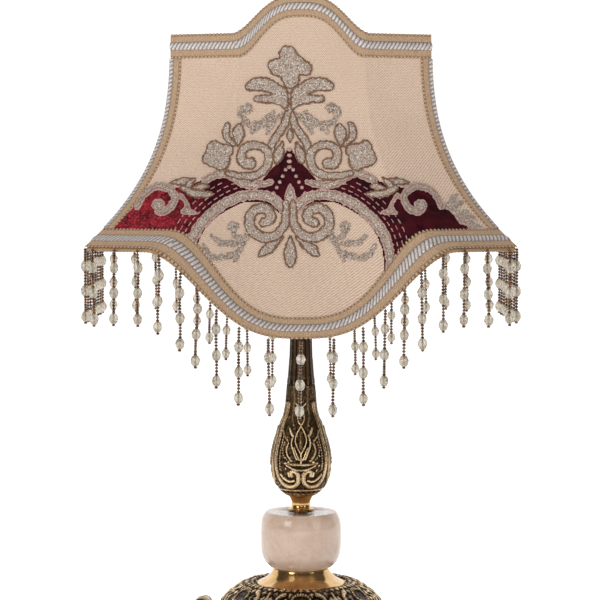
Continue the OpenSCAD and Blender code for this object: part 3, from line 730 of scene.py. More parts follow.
class Plan:
    """Height field over the front of the shade, painted shape by shape as seen from the front."""

    def __init__(self, x_range, z_range, step):
        self.x = np.arange(x_range[0], x_range[1] + step, step)
        self.z = np.arange(z_range[0], z_range[1] + step, step)
        self.xx, self.zz = np.meshgrid(self.x, self.z)
        self.height, self.cord, self.pale = np.zeros((3, *self.xx.shape))
        rng = np.random.default_rng(SEED + 2)
        self.wobble, self.gaps = smoothed(rng, self.xx.shape, 3), smoothed(rng, self.xx.shape, 1)

    def window(self, points, margin):
        """The part of the field round some points."""
        lo, hi = points.min(0) - margin, points.max(0) + margin
        return slice(*np.searchsorted(self.z, [lo[1], hi[1]])), slice(*np.searchsorted(self.x, [lo[0], hi[0]]))

    def band(self, points, widths, **how):
        """Stroke of varying width along a smooth path."""
        widths = np.atleast_1d(np.asarray(widths, float))
        widths = np.interp(np.linspace(0, 1, len(points)), np.linspace(0, 1, len(widths)), widths)
        path = catmull(np.column_stack([points, widths / 2]), step=PATH_STEP)
        at = self.window(path[:, :2], widths.max() / 2 + 1.5)
        dist = np.full(self.xx[at].shape, 1e9)
        for a, b in zip(path[:-1], path[1:]):
            away, f = nearest(self.xx[at], self.zz[at], a, b)
            dist = np.minimum(dist, away - a[2] - f * (b[2] - a[2]))
        self.paint(at, dist, **how)

    def patch(self, points, smooth=True, **how):
        """Closed outline."""
        path = catmull(points, closed=True, step=PATH_STEP) if smooth else np.asarray(points, float)
        at = self.window(path, 1.5)
        x, z = self.xx[at], self.zz[at]
        dist, inside = np.full(x.shape, 1e9), np.zeros(x.shape, bool)
        for a, b in zip(path, np.roll(path, -1, 0)):
            dist = np.minimum(dist, nearest(x, z, a, b)[0])
            if b[1] != a[1]:
                inside ^= ((a[1] > z) != (b[1] > z)) & (x < a[0] + (z - a[1]) * (b[0] - a[0]) / (b[1] - a[1]))
        self.paint(at, np.where(inside, -dist, dist), **how)

    def paint(self, at, dist, outline="cord", puff=0.5, base=0.6, pale=False, rough=True):
        """Padded filling that rises from base by puff, with a cord along its edge; dist is negative inside."""
        cord_r = {"cord": 0.58, "pale": 0.52}.get(outline, 0.0)
        dist = dist + (0.24 * self.wobble[at] if rough else 0)
        region = dist < cord_r
        if rough and not outline:
            region &= self.gaps[at] + 0.35 * dist < 0.3
        rise = base + puff * np.sqrt(np.clip(-dist / 1.7, 0, 1))
        on_cord = (np.abs(dist) < cord_r) & bool(outline)
        rise = np.where(on_cord, base + 0.1 + np.sqrt(np.clip(cord_r**2 - dist**2, 0, None)), rise)
        self.height[at][region] = rise[region]
        beside = (dist < -cord_r) & (dist > -cord_r - 0.6) & (outline == "pale")
        self.cord[at][region] = np.where(on_cord & (outline == "cord"), 1.0, 0.75 * beside)[region]
        self.pale[at][region] = np.where(on_cord & (outline == "pale") | pale, 1.0, 0.0)[region]

    def clip(self):
        """Keeps what lies between the braids."""
        self.u, self.t = front_place(self.xx, self.zz)
        left, right = (np.linalg.norm(self.at(0) - shade_at(u, self.t, 0), axis=-1) for u in (-1, 2))
        free = (self.t < low_braid_t(self.u) + 0.004) & (self.t > top_braid_t(self.u))
        free &= (np.minimum(left, right) > BRAID_W / 2 - 0.3) & (self.u > -0.999) & (self.u < 1.999)
        self.height = np.where(free, self.height, 0)

    def at(self, d):
        return shade_at(self.u, self.t, d)

    def mesh(self):
        """Points, quads and the cells used, where something was painted; round it the points sink into the cloth."""
        some = self.height > 0
        keep = some[:-1, :-1] | some[1:, :-1] | some[:-1, 1:] | some[1:, 1:]
        i, j = np.nonzero(keep)
        cols = len(self.x)
        quads = np.stack([i * cols + j, i * cols + j + 1, (i + 1) * cols + j + 1, (i + 1) * cols + j], -1)
        used = np.unique(quads)
        new = np.full(self.xx.size, -1)
        new[used] = np.arange(len(used))
        points = self.at(np.where(some, self.height, -0.15)).reshape(-1, 3)[used]
        return points, new[quads], used


MIDDLE_X = -8.0  # the design stands a little to the left of the lamp's axis


def both(points):
    """The half design to the right of the middle line, and its mirror image."""
    p = np.asarray(points, float)
    return [np.column_stack([MIDDLE_X + side * p[:, 0], p[:, 1]]) for side in (1, -1)]


def blade(root, tip, width, half):
    """Outline from root to tip; half is one side of it, in shares of the length and of half the width."""
    root = np.asarray(root, float)
    along = np.asarray(tip, float) - root
    across = np.array([-along[1], along[0]]) / np.linalg.norm(along)
    shape = [(0, 0), *half, (1, 0), *[(f, -g) for f, g in half[::-1]]]
    return np.array([root + along * f + across * g * width / 2 for f, g in shape])


def leaf_outline(root, tip, width, belly=0.42):
    """Pointed leaf."""
    return blade(root, tip, width, [(0.15, 0.6), (belly, 1), (0.75, 0.62)])


def petal_outline(root, tip, width):
    """Petal with a round end, narrow at its root."""
    return blade(root, tip, width, [(0.25, 0.55), (0.55, 0.98), (0.8, 0.82), (0.97, 0.3)])


# Middle line of the big arc, from the middle of the shade out to its lower edge, and its widths
ARC = [(3, 331.5), (7, 336.5), (12.5, 341), (19, 342.8), (27, 342.7), (36, 340.8), (44, 336.8), (52, 331),
       (59, 324), (64.5, 315.5), (67.5, 306), (68.5, 296), (68, 286)]
ARC_WIDTHS = [4.5, 6, 6.5, 6, 6.5, 6.5, 6.5, 6.5, 6.5, 6.5, 6, 5.5, 5.5]

VELVET_HALF = [
    (0, 375), (7, 365.5), (14.5, 357.5), (19, 352), (32, 352.5), (45, 358), (57, 354), (66, 350), (74, 348.5),
    (80, 347), (86, 349), (92, 349), (97, 346), (102, 341), (105, 337), (111.5, 329.5), (121, 322),
    (132, 314.5), (142, 306), (142, 286), (63.5, 282), (64.5, 296), (63.5, 306), (60, 315.5), (54.5, 324),
    (47.5, 329.5), (40, 334), (32, 337.6), (24, 338), (17, 337.6), (11, 335), (7, 331), (3, 327.5), (0, 326)]

velvet_plan = Plan((-140, 140), (284, 378), 0.8)
for outline in both(VELVET_HALF):
    velvet_plan.patch(outline, smooth=False, outline=None, base=0.45, puff=0.12, rough=False)
velvet_plan.clip()

stitches = Plan((-138, 132), (288, 447), 0.4)


def band(points, widths, **how):
    for p in both(points):
        stitches.band(p, widths, **how)


def patch(points, **how):
    for p in both(points):
        stitches.patch(p, **how)


def leaf(root, tip, width, **how):
    patch(leaf_outline(root, tip, width), **how)


def blob(x, z, r, **how):
    band([(x - 0.05, z), (x + 0.05, z)], 2 * r, **how)


# Three dashed stitch lines run outside each arc, over the velvet
arc = catmull(ARC, step=1.0)
ahead = unit(np.gradient(arc, axis=0))
for distance, start in ((6.2, 21), (9.7, 36), (13.4, 46)):
    line = arc + distance * np.stack([-ahead[:, 1], ahead[:, 0]], 1)
    line = line[line[:, 0] > start]
    for k in range(0, len(line) - 3, 4):
        band(line[k:k + 3], 0.85, outline=None, pale=True, base=0.8, puff=0.3, rough=False)

# Big arcs
band(ARC, ARC_WIDTHS, outline="pale")

# Chain of small dots down the middle velvet and along its edges
for x, z in ((0.4, 373.8), (0.4, 369.8), (0.4, 365.6), (0.4, 361.8), (2.6, 360), (4.6, 355.6), (6.6, 351.6),
             (8.6, 347.8), (10.8, 344)):
    blob(x, z, 1.25, outline=None, pale=True, base=0.8, puff=0.4, rough=False)
stitches.patch(leaf_outline((MIDDLE_X + 0.5, 334), (MIDDLE_X + 0.5, 350), 7.2), outline="pale")

# S-shaped bands over the velvet, and the outer spirals and leaves at the shoulders
band([(12.7, 351.5), (19.5, 349.8), (26, 349.4), (32.5, 351), (38.7, 355), (45, 357.2), (51.5, 356), (57.5, 352.6)],
     [3.5, 4.6, 5, 4.8, 4.4], outline="pale")
band([(104, 334.5), (101.5, 340), (97, 345.4), (91, 348.6), (85, 348.2), (80.2, 345), (78, 340.6), (80.6, 334.6),
      (86, 331.4), (89.5, 332.2)], [3.2, 4, 4.6, 4.6, 4.2], outline="pale")
blob(89.3, 335.6, 4, outline="pale")
leaf((64.7, 352.6), (82, 351.2), 4.4)
leaf((72, 346), (64, 354.5), 4.2)
band([(53.8, 343.4), (60, 343.2), (66, 344.2), (72.5, 347.5)], [2.4, 4.4, 4.4, 3.4])
leaf((55, 349), (66, 347.4), 4.2)
patch([(76, 340.5), (72.5, 339.6), (70.6, 335), (73.6, 330.6), (68, 329.8), (62.6, 330.6), (67, 333.6),
       (69.2, 338.6), (73.8, 344)], outline="pale")

# Spray of leaves down the edge of the right wing, which the left wing lacks
stitches.band([(97, 334), (103, 333.2), (109.4, 330.2), (115.6, 325), (120.6, 319.6), (125, 315), (128.4, 311.2)],
              [2, 3, 3.2, 3, 2.8, 2.4, 1.6], outline=None)
for root, tip, width, outline in (
        ((98.6, 335.2), (112, 338), 7, None), ((101.6, 338.6), (108.4, 343.6), 3.8, None),
        ((110.8, 332.6), (120.8, 324.6), 5, None), ((119.4, 323), (128.6, 312.4), 4.6, None),
        ((105.4, 328.8), (114.4, 322.2), 4.2, "pale"), ((113.6, 321.8), (123, 314.4), 4, "pale")):
    stitches.patch(leaf_outline(root, tip, width), outline=outline)

# Lower scrolls and leaves on the cream ground
patch(petal_outline((4.4, 314.6), (20.4, 301.4), 6.8))
stitches.patch(petal_outline((MIDDLE_X + 0.6, 314.6), (MIDDLE_X + 0.6, 293.8), 8.2))
band([(2.6, 337), (2.4, 330), (3.2, 323), (7.4, 316.6), (13.4, 313.8), (20, 314.6), (25.6, 319), (27.2, 325.4),
      (24.6, 331.4), (18.6, 333.8), (13.4, 331.2), (12.8, 326.2), (17.2, 323.8)], [3.8, 5.4, 6.4, 6.6, 6.4, 6.2, 6])
for points, widths in (
        ([(27, 318.5), (30, 313), (33, 307), (36.8, 298)], [3, 4.8, 4.4, 2.2]),
        ([(33.5, 309), (40, 309.6), (47, 310.6), (52.5, 315.2)], [3.4, 4.6, 4.2, 2.4]),
        ([(34, 304), (41, 301.6), (48, 300.2), (54.5, 302.6), (58.2, 308.6)], [3.4, 4.8, 5, 4.4, 2.4]),
        ([(38.15, 321), (38.25, 321)], 7.8),
        ([(31, 312), (36.5, 314.6), (38.6, 319)], [3, 4.2, 3])):
    band(points, widths, outline=None)

# Crossed stems up to the top flower, with their leaves
for points, widths in (
        ([(26, 386), (20, 391), (10.8, 399.6)], [3.2, 4.4, 3]),
        ([(15, 385.6), (13, 390), (8, 396)], [3.6, 4.2, 2.6]),
        ([(33.2, 396.6), (27.6, 391.4), (18.4, 391), (10.8, 394), (4.8, 398.4)], [3.4, 5, 5, 4.4, 3]),
        ([(33.4, 396), (33.6, 401), (30, 403.4)], [3.2, 4.2, 3.6]),
        ([(28.75, 402), (28.85, 402)], 8)):
    band(points, widths, outline=None)
band([(-1.6, 404), (1.2, 398), (3.2, 391.5), (7.4, 384.6), (11.6, 378.4), (12.6, 371)], [3.6, 4.4, 4.6, 4.8, 5, 4.2])
patch(petal_outline((4.6, 379), (9.4, 364.2), 6.6))
stitches.patch(leaf_outline((MIDDLE_X + 0.4, 388), (MIDDLE_X + 0.4, 379), 4.2, 0.6))

# Buds and spirals beside the stems
band([(38, 377.4), (42.6, 381.6), (43.6, 386.4), (42.2, 390.8)], [2.6, 4, 4.6, 3.2])
patch(petal_outline((35.4, 375.6), (34.4, 391.4), 8))
band([(42, 357.6), (33, 355.6), (24.4, 355.8), (17.4, 359.6), (14.2, 366), (14.8, 371.8), (19.4, 375.8),
      (25.4, 377), (31, 374.6), (33, 369.4), (30.8, 364.6), (26.6, 364.2)], [3.6, 4.8, 5.4, 5.4, 5, 5.2, 6.2, 7.4])

# Acanthus leaves under the top flower
patch([(1.6, 413.6), (6.6, 417.8), (11.8, 421.4), (18.4, 423), (25, 422.2), (29.8, 418.4), (29.6, 415.4),
       (25.4, 414.4), (18.4, 414), (11.8, 412), (15.6, 411), (22.4, 410.6), (24, 408.6), (22.4, 406.6),
       (14.8, 405.8), (8.4, 404.8), (4.2, 402.6), (1.6, 400.8)])

FLOWER = [(-2.4, 15.8), (1.5, 14.5), (5, 9.8), (12.6, 3.8), (14.6, 0), (12.4, -3.8), (6.2, -4.2), (5.8, -8),
          (2.6, -12.4), (-1.8, -12.8), (-5.4, -8.8), (-6.6, -5), (-11.8, -3.8), (-15, 1.2), (-14, 5.4),
          (-7.4, 7.6), (-7.4, 11.2), (-5, 15)]
SIDE_FLOWER = [(2.6, 10.8), (-1.8, 8.4), (-8.6, 7), (-10.4, 3.2), (-8, -0.4), (-8, -5), (-5.6, -8.8), (-1.8, -9.8),
               (1.8, -8), (5.2, -7), (9.2, -5), (10.8, -2.4), (9.4, 1.2), (7.8, 3.8), (7, 7.8)]
stitches.patch(np.array(FLOWER) + [MIDDLE_X + 0.8, 429])
stitches.band([(MIDDLE_X + 0.4, 429), (MIDDLE_X + 1.2, 429.2)], 5.6, base=0.9, outline=None, rough=False)
patch(np.array(SIDE_FLOWER) + [48.8, 369.4])
blob(48.6, 369.2, 2.6, base=0.9, outline=None, rough=False)
stitches.clip()

# Uneven pile over the stitched shapes
rng = np.random.default_rng(SEED)
for _ in range(2):
    tufts = rng.normal(0, 1, stitches.height.shape)
    tufts = (tufts + np.roll(tufts, 1, 0) + np.roll(tufts, 1, 1) + np.roll(tufts, (1, 1), (0, 1))) / 2
    stitches.height = np.where(stitches.height > 0, stitches.height + 0.05 * tufts * (1 - stitches.cord), 0)

for side_name, turn in (("front", 1), ("back", -1)):
    flip = np.array([turn, turn, 1.0])
    points, quads, used = velvet_plan.mesh()
    # Painted sheen: the velvet is coloured brighter towards its left end, from x = -62 mm outward, as if lit from
    # there; the back copy is turned round with it
    painted_sheen = np.clip((-points[:, 0] - 62) / 30, 0, 1)
    velvet = make(f"velvet_{side_name}.cut", points * flip, quads, VELVET, "shade", (f"velvet_{side_name}",),
                  tints={"painted_sheen": painted_sheen})
    points, quads, used = stitches.mesh()
    make(f"embroidery_{side_name}", points * flip, quads, CHENILLE, "shade", slot="metallic_braid",
         tints={"cord": stitches.cord.reshape(-1)[used], "pale": stitches.pale.reshape(-1)[used]})


# ---- Bead fringe ----

STRAND_OFF, STRAND_DROP = 1.6, 1.0
FIRST_SEED, FIRST_BEAD, BEAD_PITCH = 1.7, 13.4, 17.4
BEAD_R, HALF_LEN = 3.25, 3.7
GAP_OVER, GAP_UNDER, TAIL = 0.6, 0.75, 0.9  # between a bead and the seeds over and under it, and below the last bead
SEED_R, SEED_PITCH = 1.3, 1.98
THREAD_R = 0.35
# Strands of the front and back by x, and those of the corners and sides by their share of the face
PAIR_X = (0, 22, 41.5, 56.5, 69.5, 80.5)
CORNER_PLACES = (0.04, 0.31, 0.6, 0.88)
SIDE_PLACES = (0.083, 0.202, 0.321, 0.44, 0.56, 0.679, 0.798, 0.917)


def turned_bead(lower, middle, sides, offset):
    """Small bead on the Z axis: rings of (radius, z) up to its middle, every ring turned by offset."""
    rings = lower + middle + [(r, -z) for r, z in lower[::-1]]
    a = np.arange(sides) * TAU / sides
    points, faces = [], []
    for i, (r, z) in enumerate(rings):
        turn = a + i * offset
        points.append(np.stack([r * np.cos(turn), r * np.sin(turn), np.full(sides, z)], 1))
    j = np.arange(sides)
    k = (j + 1) % sides
    for i in range(len(rings) - 1):
        p, q = i * sides, (i + 1) * sides
        faces += [np.stack([p + j, p + k, q + j], 1), np.stack([p + k, q + k, q + j], 1)]
    return np.concatenate(points), np.concatenate(faces)


SEED_SHAPE = turned_bead([(0.3, -0.92), (0.86, -0.76), (1.2, -0.36)], [(SEED_R, 0)], 8, 0.0)
BEAD_SHAPE = turned_bead([(0.7, -HALF_LEN), (1.75, -0.95 * HALF_LEN), (2.75, -0.6 * HALF_LEN),
                          (BEAD_R, -0.2 * HALF_LEN)], [], 7, TAU / 14)


def strand_parts(u, rng):
    """Seeds and large beads of one strand that hangs a little out of true."""
    top = np.append(on_plan(LOW_PLAN, u, STRAND_OFF), low_z(u) - STRAND_DROP)
    lean, bow, slip = (rng.uniform(-most, most) for most in (0.022, 0.5, 0.9))
    i = int(u) % 8
    along = LOW_PLAN[0][(i + 1) % 8] - LOW_PLAN[0][i]
    along = np.append(along / np.linalg.norm(along), 0)

    def at(drop):
        return top + along * (lean * drop + bow * math.sin(drop * 0.11)) - [0, 0, drop]

    seeds, beads = [], []
    centres = [FIRST_BEAD + slip + BEAD_PITCH * k + rng.uniform(-0.3, 0.3) for k in range(3)]
    start = FIRST_SEED
    for centre in centres + [None]:
        end = centre - HALF_LEN - GAP_OVER if centre else start + TAIL
        count = max(1, int(round((end - start) / SEED_PITCH)) + (1 if centre else 0))
        for drop in np.linspace(start, end, count):
            seeds.append((SEED_SHAPE[0] * rng.uniform(0.9, 1.03) + at(drop), SEED_SHAPE[1]))
        if centre:
            turn = rng.uniform(0, TAU)
            c, s = math.cos(turn), math.sin(turn)
            spun = BEAD_SHAPE[0] @ np.array([[c, s, 0], [-s, c, 0], [0, 0, 1]])
            beads.append((spun * rng.uniform(0.95, 1.03) + at(centre), BEAD_SHAPE[1]))
            start = centre + HALF_LEN + GAP_UNDER
    thread = np.array([at(drop) for drop in np.linspace(0.2, centres[-1] + HALF_LEN + 1, 14)])
    seeds.append(tube(thread, THREAD_R, 6))
    return seeds, beads


def fringe(name, us):
    rng = np.random.default_rng([SEED, *name.encode()])
    seeds, beads = [], []
    for u in us:
        more_seeds, more_beads = strand_parts(u % 8, rng)
        seeds += more_seeds
        beads += more_beads
    make(name + ".seeds", *merge(seeds), SEED_BEAD, name, (name,))
    make(name + ".beads", *merge(beads), BEAD, name, smooth=False, slot="bead_glass")


for face, name in ((0, "front"), (4, "back")):
    for index, x in enumerate(PAIR_X):
        fringe(f"fringe_{name}_{index}", [face + (v / LOW_RIB[0] + 1) / 2 for v in ((x, -x) if x else (0,))])
for face, name in ((1, "front_right"), (3, "back_right"), (5, "back_left"), (7, "front_left")):
    fringe(f"fringe_corner_{name}", [face + (f if face % 4 == 1 else 1 - f) for f in CORNER_PLACES])
for face, name in ((2, "right"), (6, "left")):
    fringe(f"fringe_{name}", [face + f for f in SIDE_PLACES])


# ---- Cast ornament on turned pieces ----

FRONT = -math.pi / 2
BORE = 5.2


class Cast:
    """Turned piece with ornament raised over it, painted in mm along its skin: x round it and z up it.

    Its outline is a list of (radius, z); what is painted repeats round it.
    """

    def __init__(self, outline, step, columns, repeats, bore=BORE):
        outline = catmull(outline, step=step) if step else np.asarray(outline, float)
        self.r, self.z = outline[:, 0], outline[:, 1]
        self.theta = np.arange(columns) * TAU / columns
        self.bore = bore
        span = TAU / repeats
        fold = (self.theta + span / 2) % span - span / 2
        self.fold, self.zz = np.meshgrid(fold, self.z)
        self.rr = np.broadcast_to(self.r[:, None], self.fold.shape)
        self.turn = self.theta + 0 * self.zz
        self.rise = np.zeros(self.fold.shape)

    def angle(self, x, z):
        """Angle at which the skin is x mm to the side when seen square on, at height z."""
        r = np.interp(z, self.z, self.r)
        return np.arcsin(np.clip(x / r, -0.999, 0.999))

    def distance(self, path):
        """Distance of the skin from a path, and how far along the path the nearest point is."""
        dist, along, run = np.full(self.fold.shape, 1e9), np.zeros(self.fold.shape), 0.0
        near = (self.zz > path[:, 1].min() - 4) & (self.zz < path[:, 1].max() + 4)
        fold, zz, rr = self.fold[near], self.zz[near], self.rr[near]
        best, place = np.full(fold.shape, 1e9), np.zeros(fold.shape)
        for (a0, z0), (a1, z1) in zip(path[:-1], path[1:]):
            d, f = nearest((fold - a0) * rr, zz - z0, (0, 0), ((a1 - a0) * rr, z1 - z0))
            length = math.hypot((a1 - a0) * rr.mean(), z1 - z0)
            place = np.where(d < best, run + f * length, place)
            best = np.minimum(best, d)
            run += length
        dist[near], along[near] = best, place
        return dist, along

    def stroke(self, points, width, high, bead=None, mirror=True, flat=False):
        """Rounded ridge along a path of (x as seen from the front, z); bead is the pitch of beads along it."""
        points = np.asarray(points, float)
        points = np.column_stack([self.angle(points[:, 0], points[:, 1]), points[:, 1]])
        path = catmull(points * [100, 1], step=PATH_STEP) / [100, 1]
        for side in (1, -1) if mirror else (1,):
            dist, along = self.distance(path * [side, 1])
            shape = np.clip(1 - (2 * dist / width) ** 2, 0, 1)
            shape = np.minimum(1, 1.8 * shape) if flat else np.sqrt(shape)
            if bead:
                shape = shape * (0.35 + 0.65 * np.abs(np.sin(math.pi * along / bead)))
            self.rise = np.maximum(self.rise, high * shape)

    def strokes(self, *rows, **how):
        for points, width, high in rows:
            self.stroke(points, width, high, **how)

    def grain(self, seed, depth):
        field = np.random.default_rng(seed).normal(0, 1, self.rise.shape)
        self.rise += depth * (field + np.roll(field, 1, 0) + np.roll(field, 1, 1))

    def matting(self, seed):
        return smoothed(np.random.default_rng(seed), self.rise.shape, 2)

    def lobes(self, count, power=1.0):
        """Row of count arches all round."""
        return np.abs(np.sin(self.turn * (count / 2))) ** power

    def build(self, name, material, relief_scale=1.0, tone=0.26, hole=None):
        """Mesh of the piece, in place of the CAD node it is named after; low places carry a low relief value."""
        up = unit(np.gradient(np.stack([self.r, self.z], 1), axis=0))
        out_r, out_z = up[:, 1:2], -up[:, 0:1]
        r, z = self.rr + self.rise * out_r, self.zz + self.rise * out_z
        c, s = np.cos(self.theta + FRONT), np.sin(self.theta + FRONT)
        skin = np.stack([r * c, r * s, z], -1)
        around = sum(np.roll(self.rise, (i, j), (0, 1)) for i in (-3, 0, 3) for j in (-3, 0, 3)) / 9
        level = np.clip(tone + (0.6 * self.rise + 0.9 * (self.rise - around)) / relief_scale, 0, 1)
        if self.bore:
            lower, upper = (np.stack([self.bore * c, self.bore * s, np.full(len(c), z)], -1)
                            for z in self.z[[0, -1]])
            skin = np.concatenate([lower[None], skin, upper[None]])
            level = np.concatenate([level[:1], level, level[-1:]])
        faces = grid_faces(len(skin), len(self.theta), bool(self.bore), True)
        skin = skin.reshape(-1, 3)
        if hole is not None:
            centre, radius = hole
            faces = faces[np.linalg.norm(skin[faces].mean(1) - centre, axis=1) > radius]
        make(name, skin, faces, material, "lamp", (name.split(".")[0],), tints={"relief": level})


# Baluster: three cartouches, each a pair of C-scrolls whose arms run up as the border of a flame over a fan
belly = Cast([(10.4, 126), (12.4, 127.6), (15.2, 130), (18.2, 134.4), (20.6, 141.6), (21.6, 149), (21.1, 156),
              (19.5, 163), (17.4, 169.9), (15.4, 176.7), (13, 181.5), (11.6, 187), (10.6, 195), (9.7, 205.8)],
             0.4, 432, 3)
belly.grain(SEED, 0.03)
scroll = [(-7.2, 141.8), (-7, 144), (-4.6, 144.8), (-2.4, 142.8), (-1.8, 139.8), (-2.2, 136.6), (-4, 134.2),
          (-6.8, 133), (-10.4, 133.6), (-13.4, 136.2), (-15.8, 140.4), (-17.1, 145.2), (-17.7, 151), (-17.1, 158),
          (-15.8, 164), (-14.3, 170), (-12.7, 176), (-10.6, 182), (-9.2, 187), (-8.4, 192)]
belly.stroke(scroll, 3.6, 0.9, flat=True)
belly.stroke(scroll, 1.3, 1.2)
belly.strokes(
    ([(-14, 142), (-11.4, 139), (-8, 137.2), (-5, 137.8)], 2.1, 1.3),
    ([(-8.6, 143.6), (-8.1, 141.2)], 2.6, 1.1),
    ([(-10.2, 148.8), (-5, 146.4), (0, 145.4)], 1.4, 1.1),
    ([(-11.4, 150.4), (-6, 149.6), (0, 149.6)], 2.4, 0.75),
    ([(0, 176.8), (-2.6, 171.8), (-3.9, 167), (-2.6, 162), (0, 157.2)], 1.5, 1.25),
    ([(0, 177), (-2.1, 180.4), (-2, 185), (0, 189.4)], 1.3, 1.2),
    ([(0, 189), (-1.6, 190.6), (-3.4, 192.4)], 1.2, 0.9),
    ([(-3, 153.4), (-4.8, 158), (-6.6, 164.6), (-5.2, 170)], 1.7, 1.2),
    ([(-5.8, 169.4), (-7.8, 174.8)], 2.0, 1.1),
    ([(-1.3, 153), (-2.7, 156.4), (-4.7, 161.2)], 1.5, 1.1),
    ([(-6.6, 152.2), (-9.2, 155.6), (-10.2, 160), (-8.8, 164.6)], 1.7, 0.85),
    ([(-9, 166), (-11.4, 169), (-12.4, 173)], 1.4, 0.8),
    ([(-5, 177), (-6, 183), (-5.2, 189), (-4.6, 197), (-5, 204.6)], 1.8, 0.55),
    ([(-8.7, 151.4), (-8.6, 151.5)], 2.6, 1.1))
belly.strokes(
    ([(-14.6, 145), (-15, 151), (-14.5, 158), (-13.2, 164), (-11.8, 170)], 1.2, 0.8),
    ([(-9.4, 152.6), (-12.4, 156), (-12.8, 161), (-11.4, 165)], 1.3, 0.75), bead=1.9)
belly.strokes(
    ([(0, 161), (0, 172)], 2.6, 0.6), ([(0, 180), (0, 187)], 1.6, 0.55),
    ([(0, 151), (0, 157)], 1.7, 1.0), mirror=False)
belly.stroke([(0, 192.5), (0, 205.5)], 1.8, 0.9, bead=2.2, mirror=False)
# Plain band with a row of arches sunk into it at the foot, and matting with sparse studs between the scrolls
belly.rise += np.clip((131.4 - belly.zz) / 0.8, 0, 0.9)
belly.rise -= belly.lobes(24, 0.8) * bell(belly.zz, 128.8, 1.1, 4)
matting = belly.matting(SEED + 3)
belly.rise += (0.12 * matting + 0.5 * (matting > 2.1) * (belly.zz < 170)) * (belly.rise < 0.5)
belly.build("stem_baluster.cast", BRASS, relief_scale=1.25, tone=0.3)

# Neck: flutes between plain ends, with a column of beads up its front
neck = Cast([(9.7, 206), (9.4, 209), (9.15, 212), (8.85, 216), (8.55, 220), (8.3, 224), (7.9, 236), (7.5, 252),
             (7.4, 270), (7.4, 290), (9.3, 292), (9.5, 293.5), (9.5, 296)], 0.5, 192, 4)
fluted = np.clip((neck.zz - 209) / 1.5, 0, 1) * np.clip((290 - neck.zz) / 1.5, 0, 1)
neck.rise += fluted * 0.45 * neck.lobes(16, 0.6)
neck.stroke([(0, 206), (0, 211)], 1.9, 0.9, bead=2.2, mirror=False)
neck.stroke([(0, 211), (0, 224)], 1.7, 0.7, bead=1.6, mirror=False)
neck.stroke([(-5, 206), (-5.2, 210)], 1.6, 0.5)
neck.rise -= 0.2
neck.build("stem_neck.cast", BRASS, relief_scale=0.85, tone=0.1)

# Spool and disc under the baluster
spool = Cast([(8.9, 114.9), (8.0, 115.5), (7.0, 116.8), (6.7, 118.4), (6.8, 120), (7.4, 121.8), (8.5, 123.8),
              (10.1, 125.8)], 0.25, 128, 4)
spool.build("neck_spool.turned", POLISHED)
disc = Cast([(9.3, 113.2), (9.8, 113.5), (9.6, 114.0), (9.0, 114.5), (8.8, 114.8)], 0.15, 128, 4)
disc.build("neck_disc.turned", BRASS_PLAIN)

# Marble barrel: its profile bulges below and above its widest level, each side with its own reach and half axis
DRUM_R, DRUM_Z, DRUM_POWER = 29.2, 96, 3.5
DRUM_BELOW, DRUM_ABOVE = (24, 26), (17, 22)
profile = []
for angle in np.linspace(-90, 90, 73):
    s = math.sin(math.radians(angle))
    reach, half = DRUM_BELOW if s < 0 else DRUM_ABOVE
    z = DRUM_Z + s * reach
    profile.append((DRUM_R * (1 - (abs(z - DRUM_Z) / half) ** DRUM_POWER) ** (1 / DRUM_POWER), z))
top_r = profile[-1][0]
drum = Cast(profile[:-1] + [(top_r, 112.9), (top_r - 0.5, 113)], None, 192, 4)
drum.build("marble_drum.polished", MARBLE)

collar = Cast([(31.6, 60.3), (32, 60.8), (31.6, 61.6), (29.6, 62.5), (27, 63.8), (24.6, 65.4), (22.5, 67.5),
               (20.9, 69.6), (19.8, 71.7)], 0.3, 160, 4)
collar.build("base_collar.turned", POLISHED)

# Dome: rows of scales under its rim, then six bosses among scrolls
SCALES, BOSS_Z = 54, 56.2
dome = Cast([(66, 30.2), (65.6, 33), (64, 37), (62.4, 40.6), (60.5, 44), (58.3, 47.4), (55.8, 50.4), (53, 53.5),
             (50.5, 55), (47.8, 57.2), (45, 59.1), (42.6, 60.6), (40.5, 61.5), (37.2, 62.4), (34.8, 61.4),
             (33.6, 60.1)], 0.45, 640, 6)
dome.grain(SEED + 1, 0.04)
for row, (r, half) in enumerate(((35.6, 1.5), (39.4, 2.4), (44, 2.9), (49, 3), (53.6, 2.8))):
    place = np.interp(r, dome.r[::-1], dome.z[::-1])
    turn = dome.turn * SCALES / TAU + 0.5 * (row % 2)
    high = np.random.default_rng(SEED + 20 + row).uniform(0.45, 1.15, SCALES)[np.floor(turn).astype(int) % SCALES]
    across = 2.2 * np.abs(turn % 1 - 0.5) + np.hypot(dome.rr - r, dome.zz - place) / half
    dome.rise = np.maximum(dome.rise, high * np.sqrt(np.clip(1.25 - across, 0, 1)))
boss = np.hypot(dome.fold * dome.rr / 7.6, (dome.zz - BOSS_Z) / 4.8)
dome.rise -= 1.2 * np.clip(1.6 * (1 - boss), 0, 1)
oval = np.linspace(0, TAU, 33)
dome.stroke(np.column_stack([6.6 * np.cos(oval), BOSS_Z + 3.9 * np.sin(oval)]), 1.9, 1.1, bead=1.9, mirror=False)
dome.strokes(
    ([(-11, 60), (-16.4, 57.6), (-18.6, 53), (-15.6, 49.4), (-12, 50.8), (-13, 53.8)], 2.4, 1.2),
    ([(-22, 47), (-24.6, 51.5), (-24.4, 56), (-22.4, 59.6)], 2.6, 1.2),
    ([(-4, 49.6), (-10, 46), (-18, 45.6), (-23, 42)], 2.4, 1.1),
    ([(0, 50), (-3.4, 44), (-9, 40), (-17, 38)], 2.2, 1.0),
    ([(-20, 37.6), (-25.4, 41), (-27.6, 46)], 2.2, 1.0))
dome.stroke([(0, 49), (0, 36)], 2.6, 1.1, mirror=False)
dome.rise += 0.8 * dome.lobes(72, 0.6) * bell(dome.zz, 32.6, 1.3)
dome.rise += 0.08 * dome.matting(SEED + 4) - 0.5 * (dome.rr < 62)
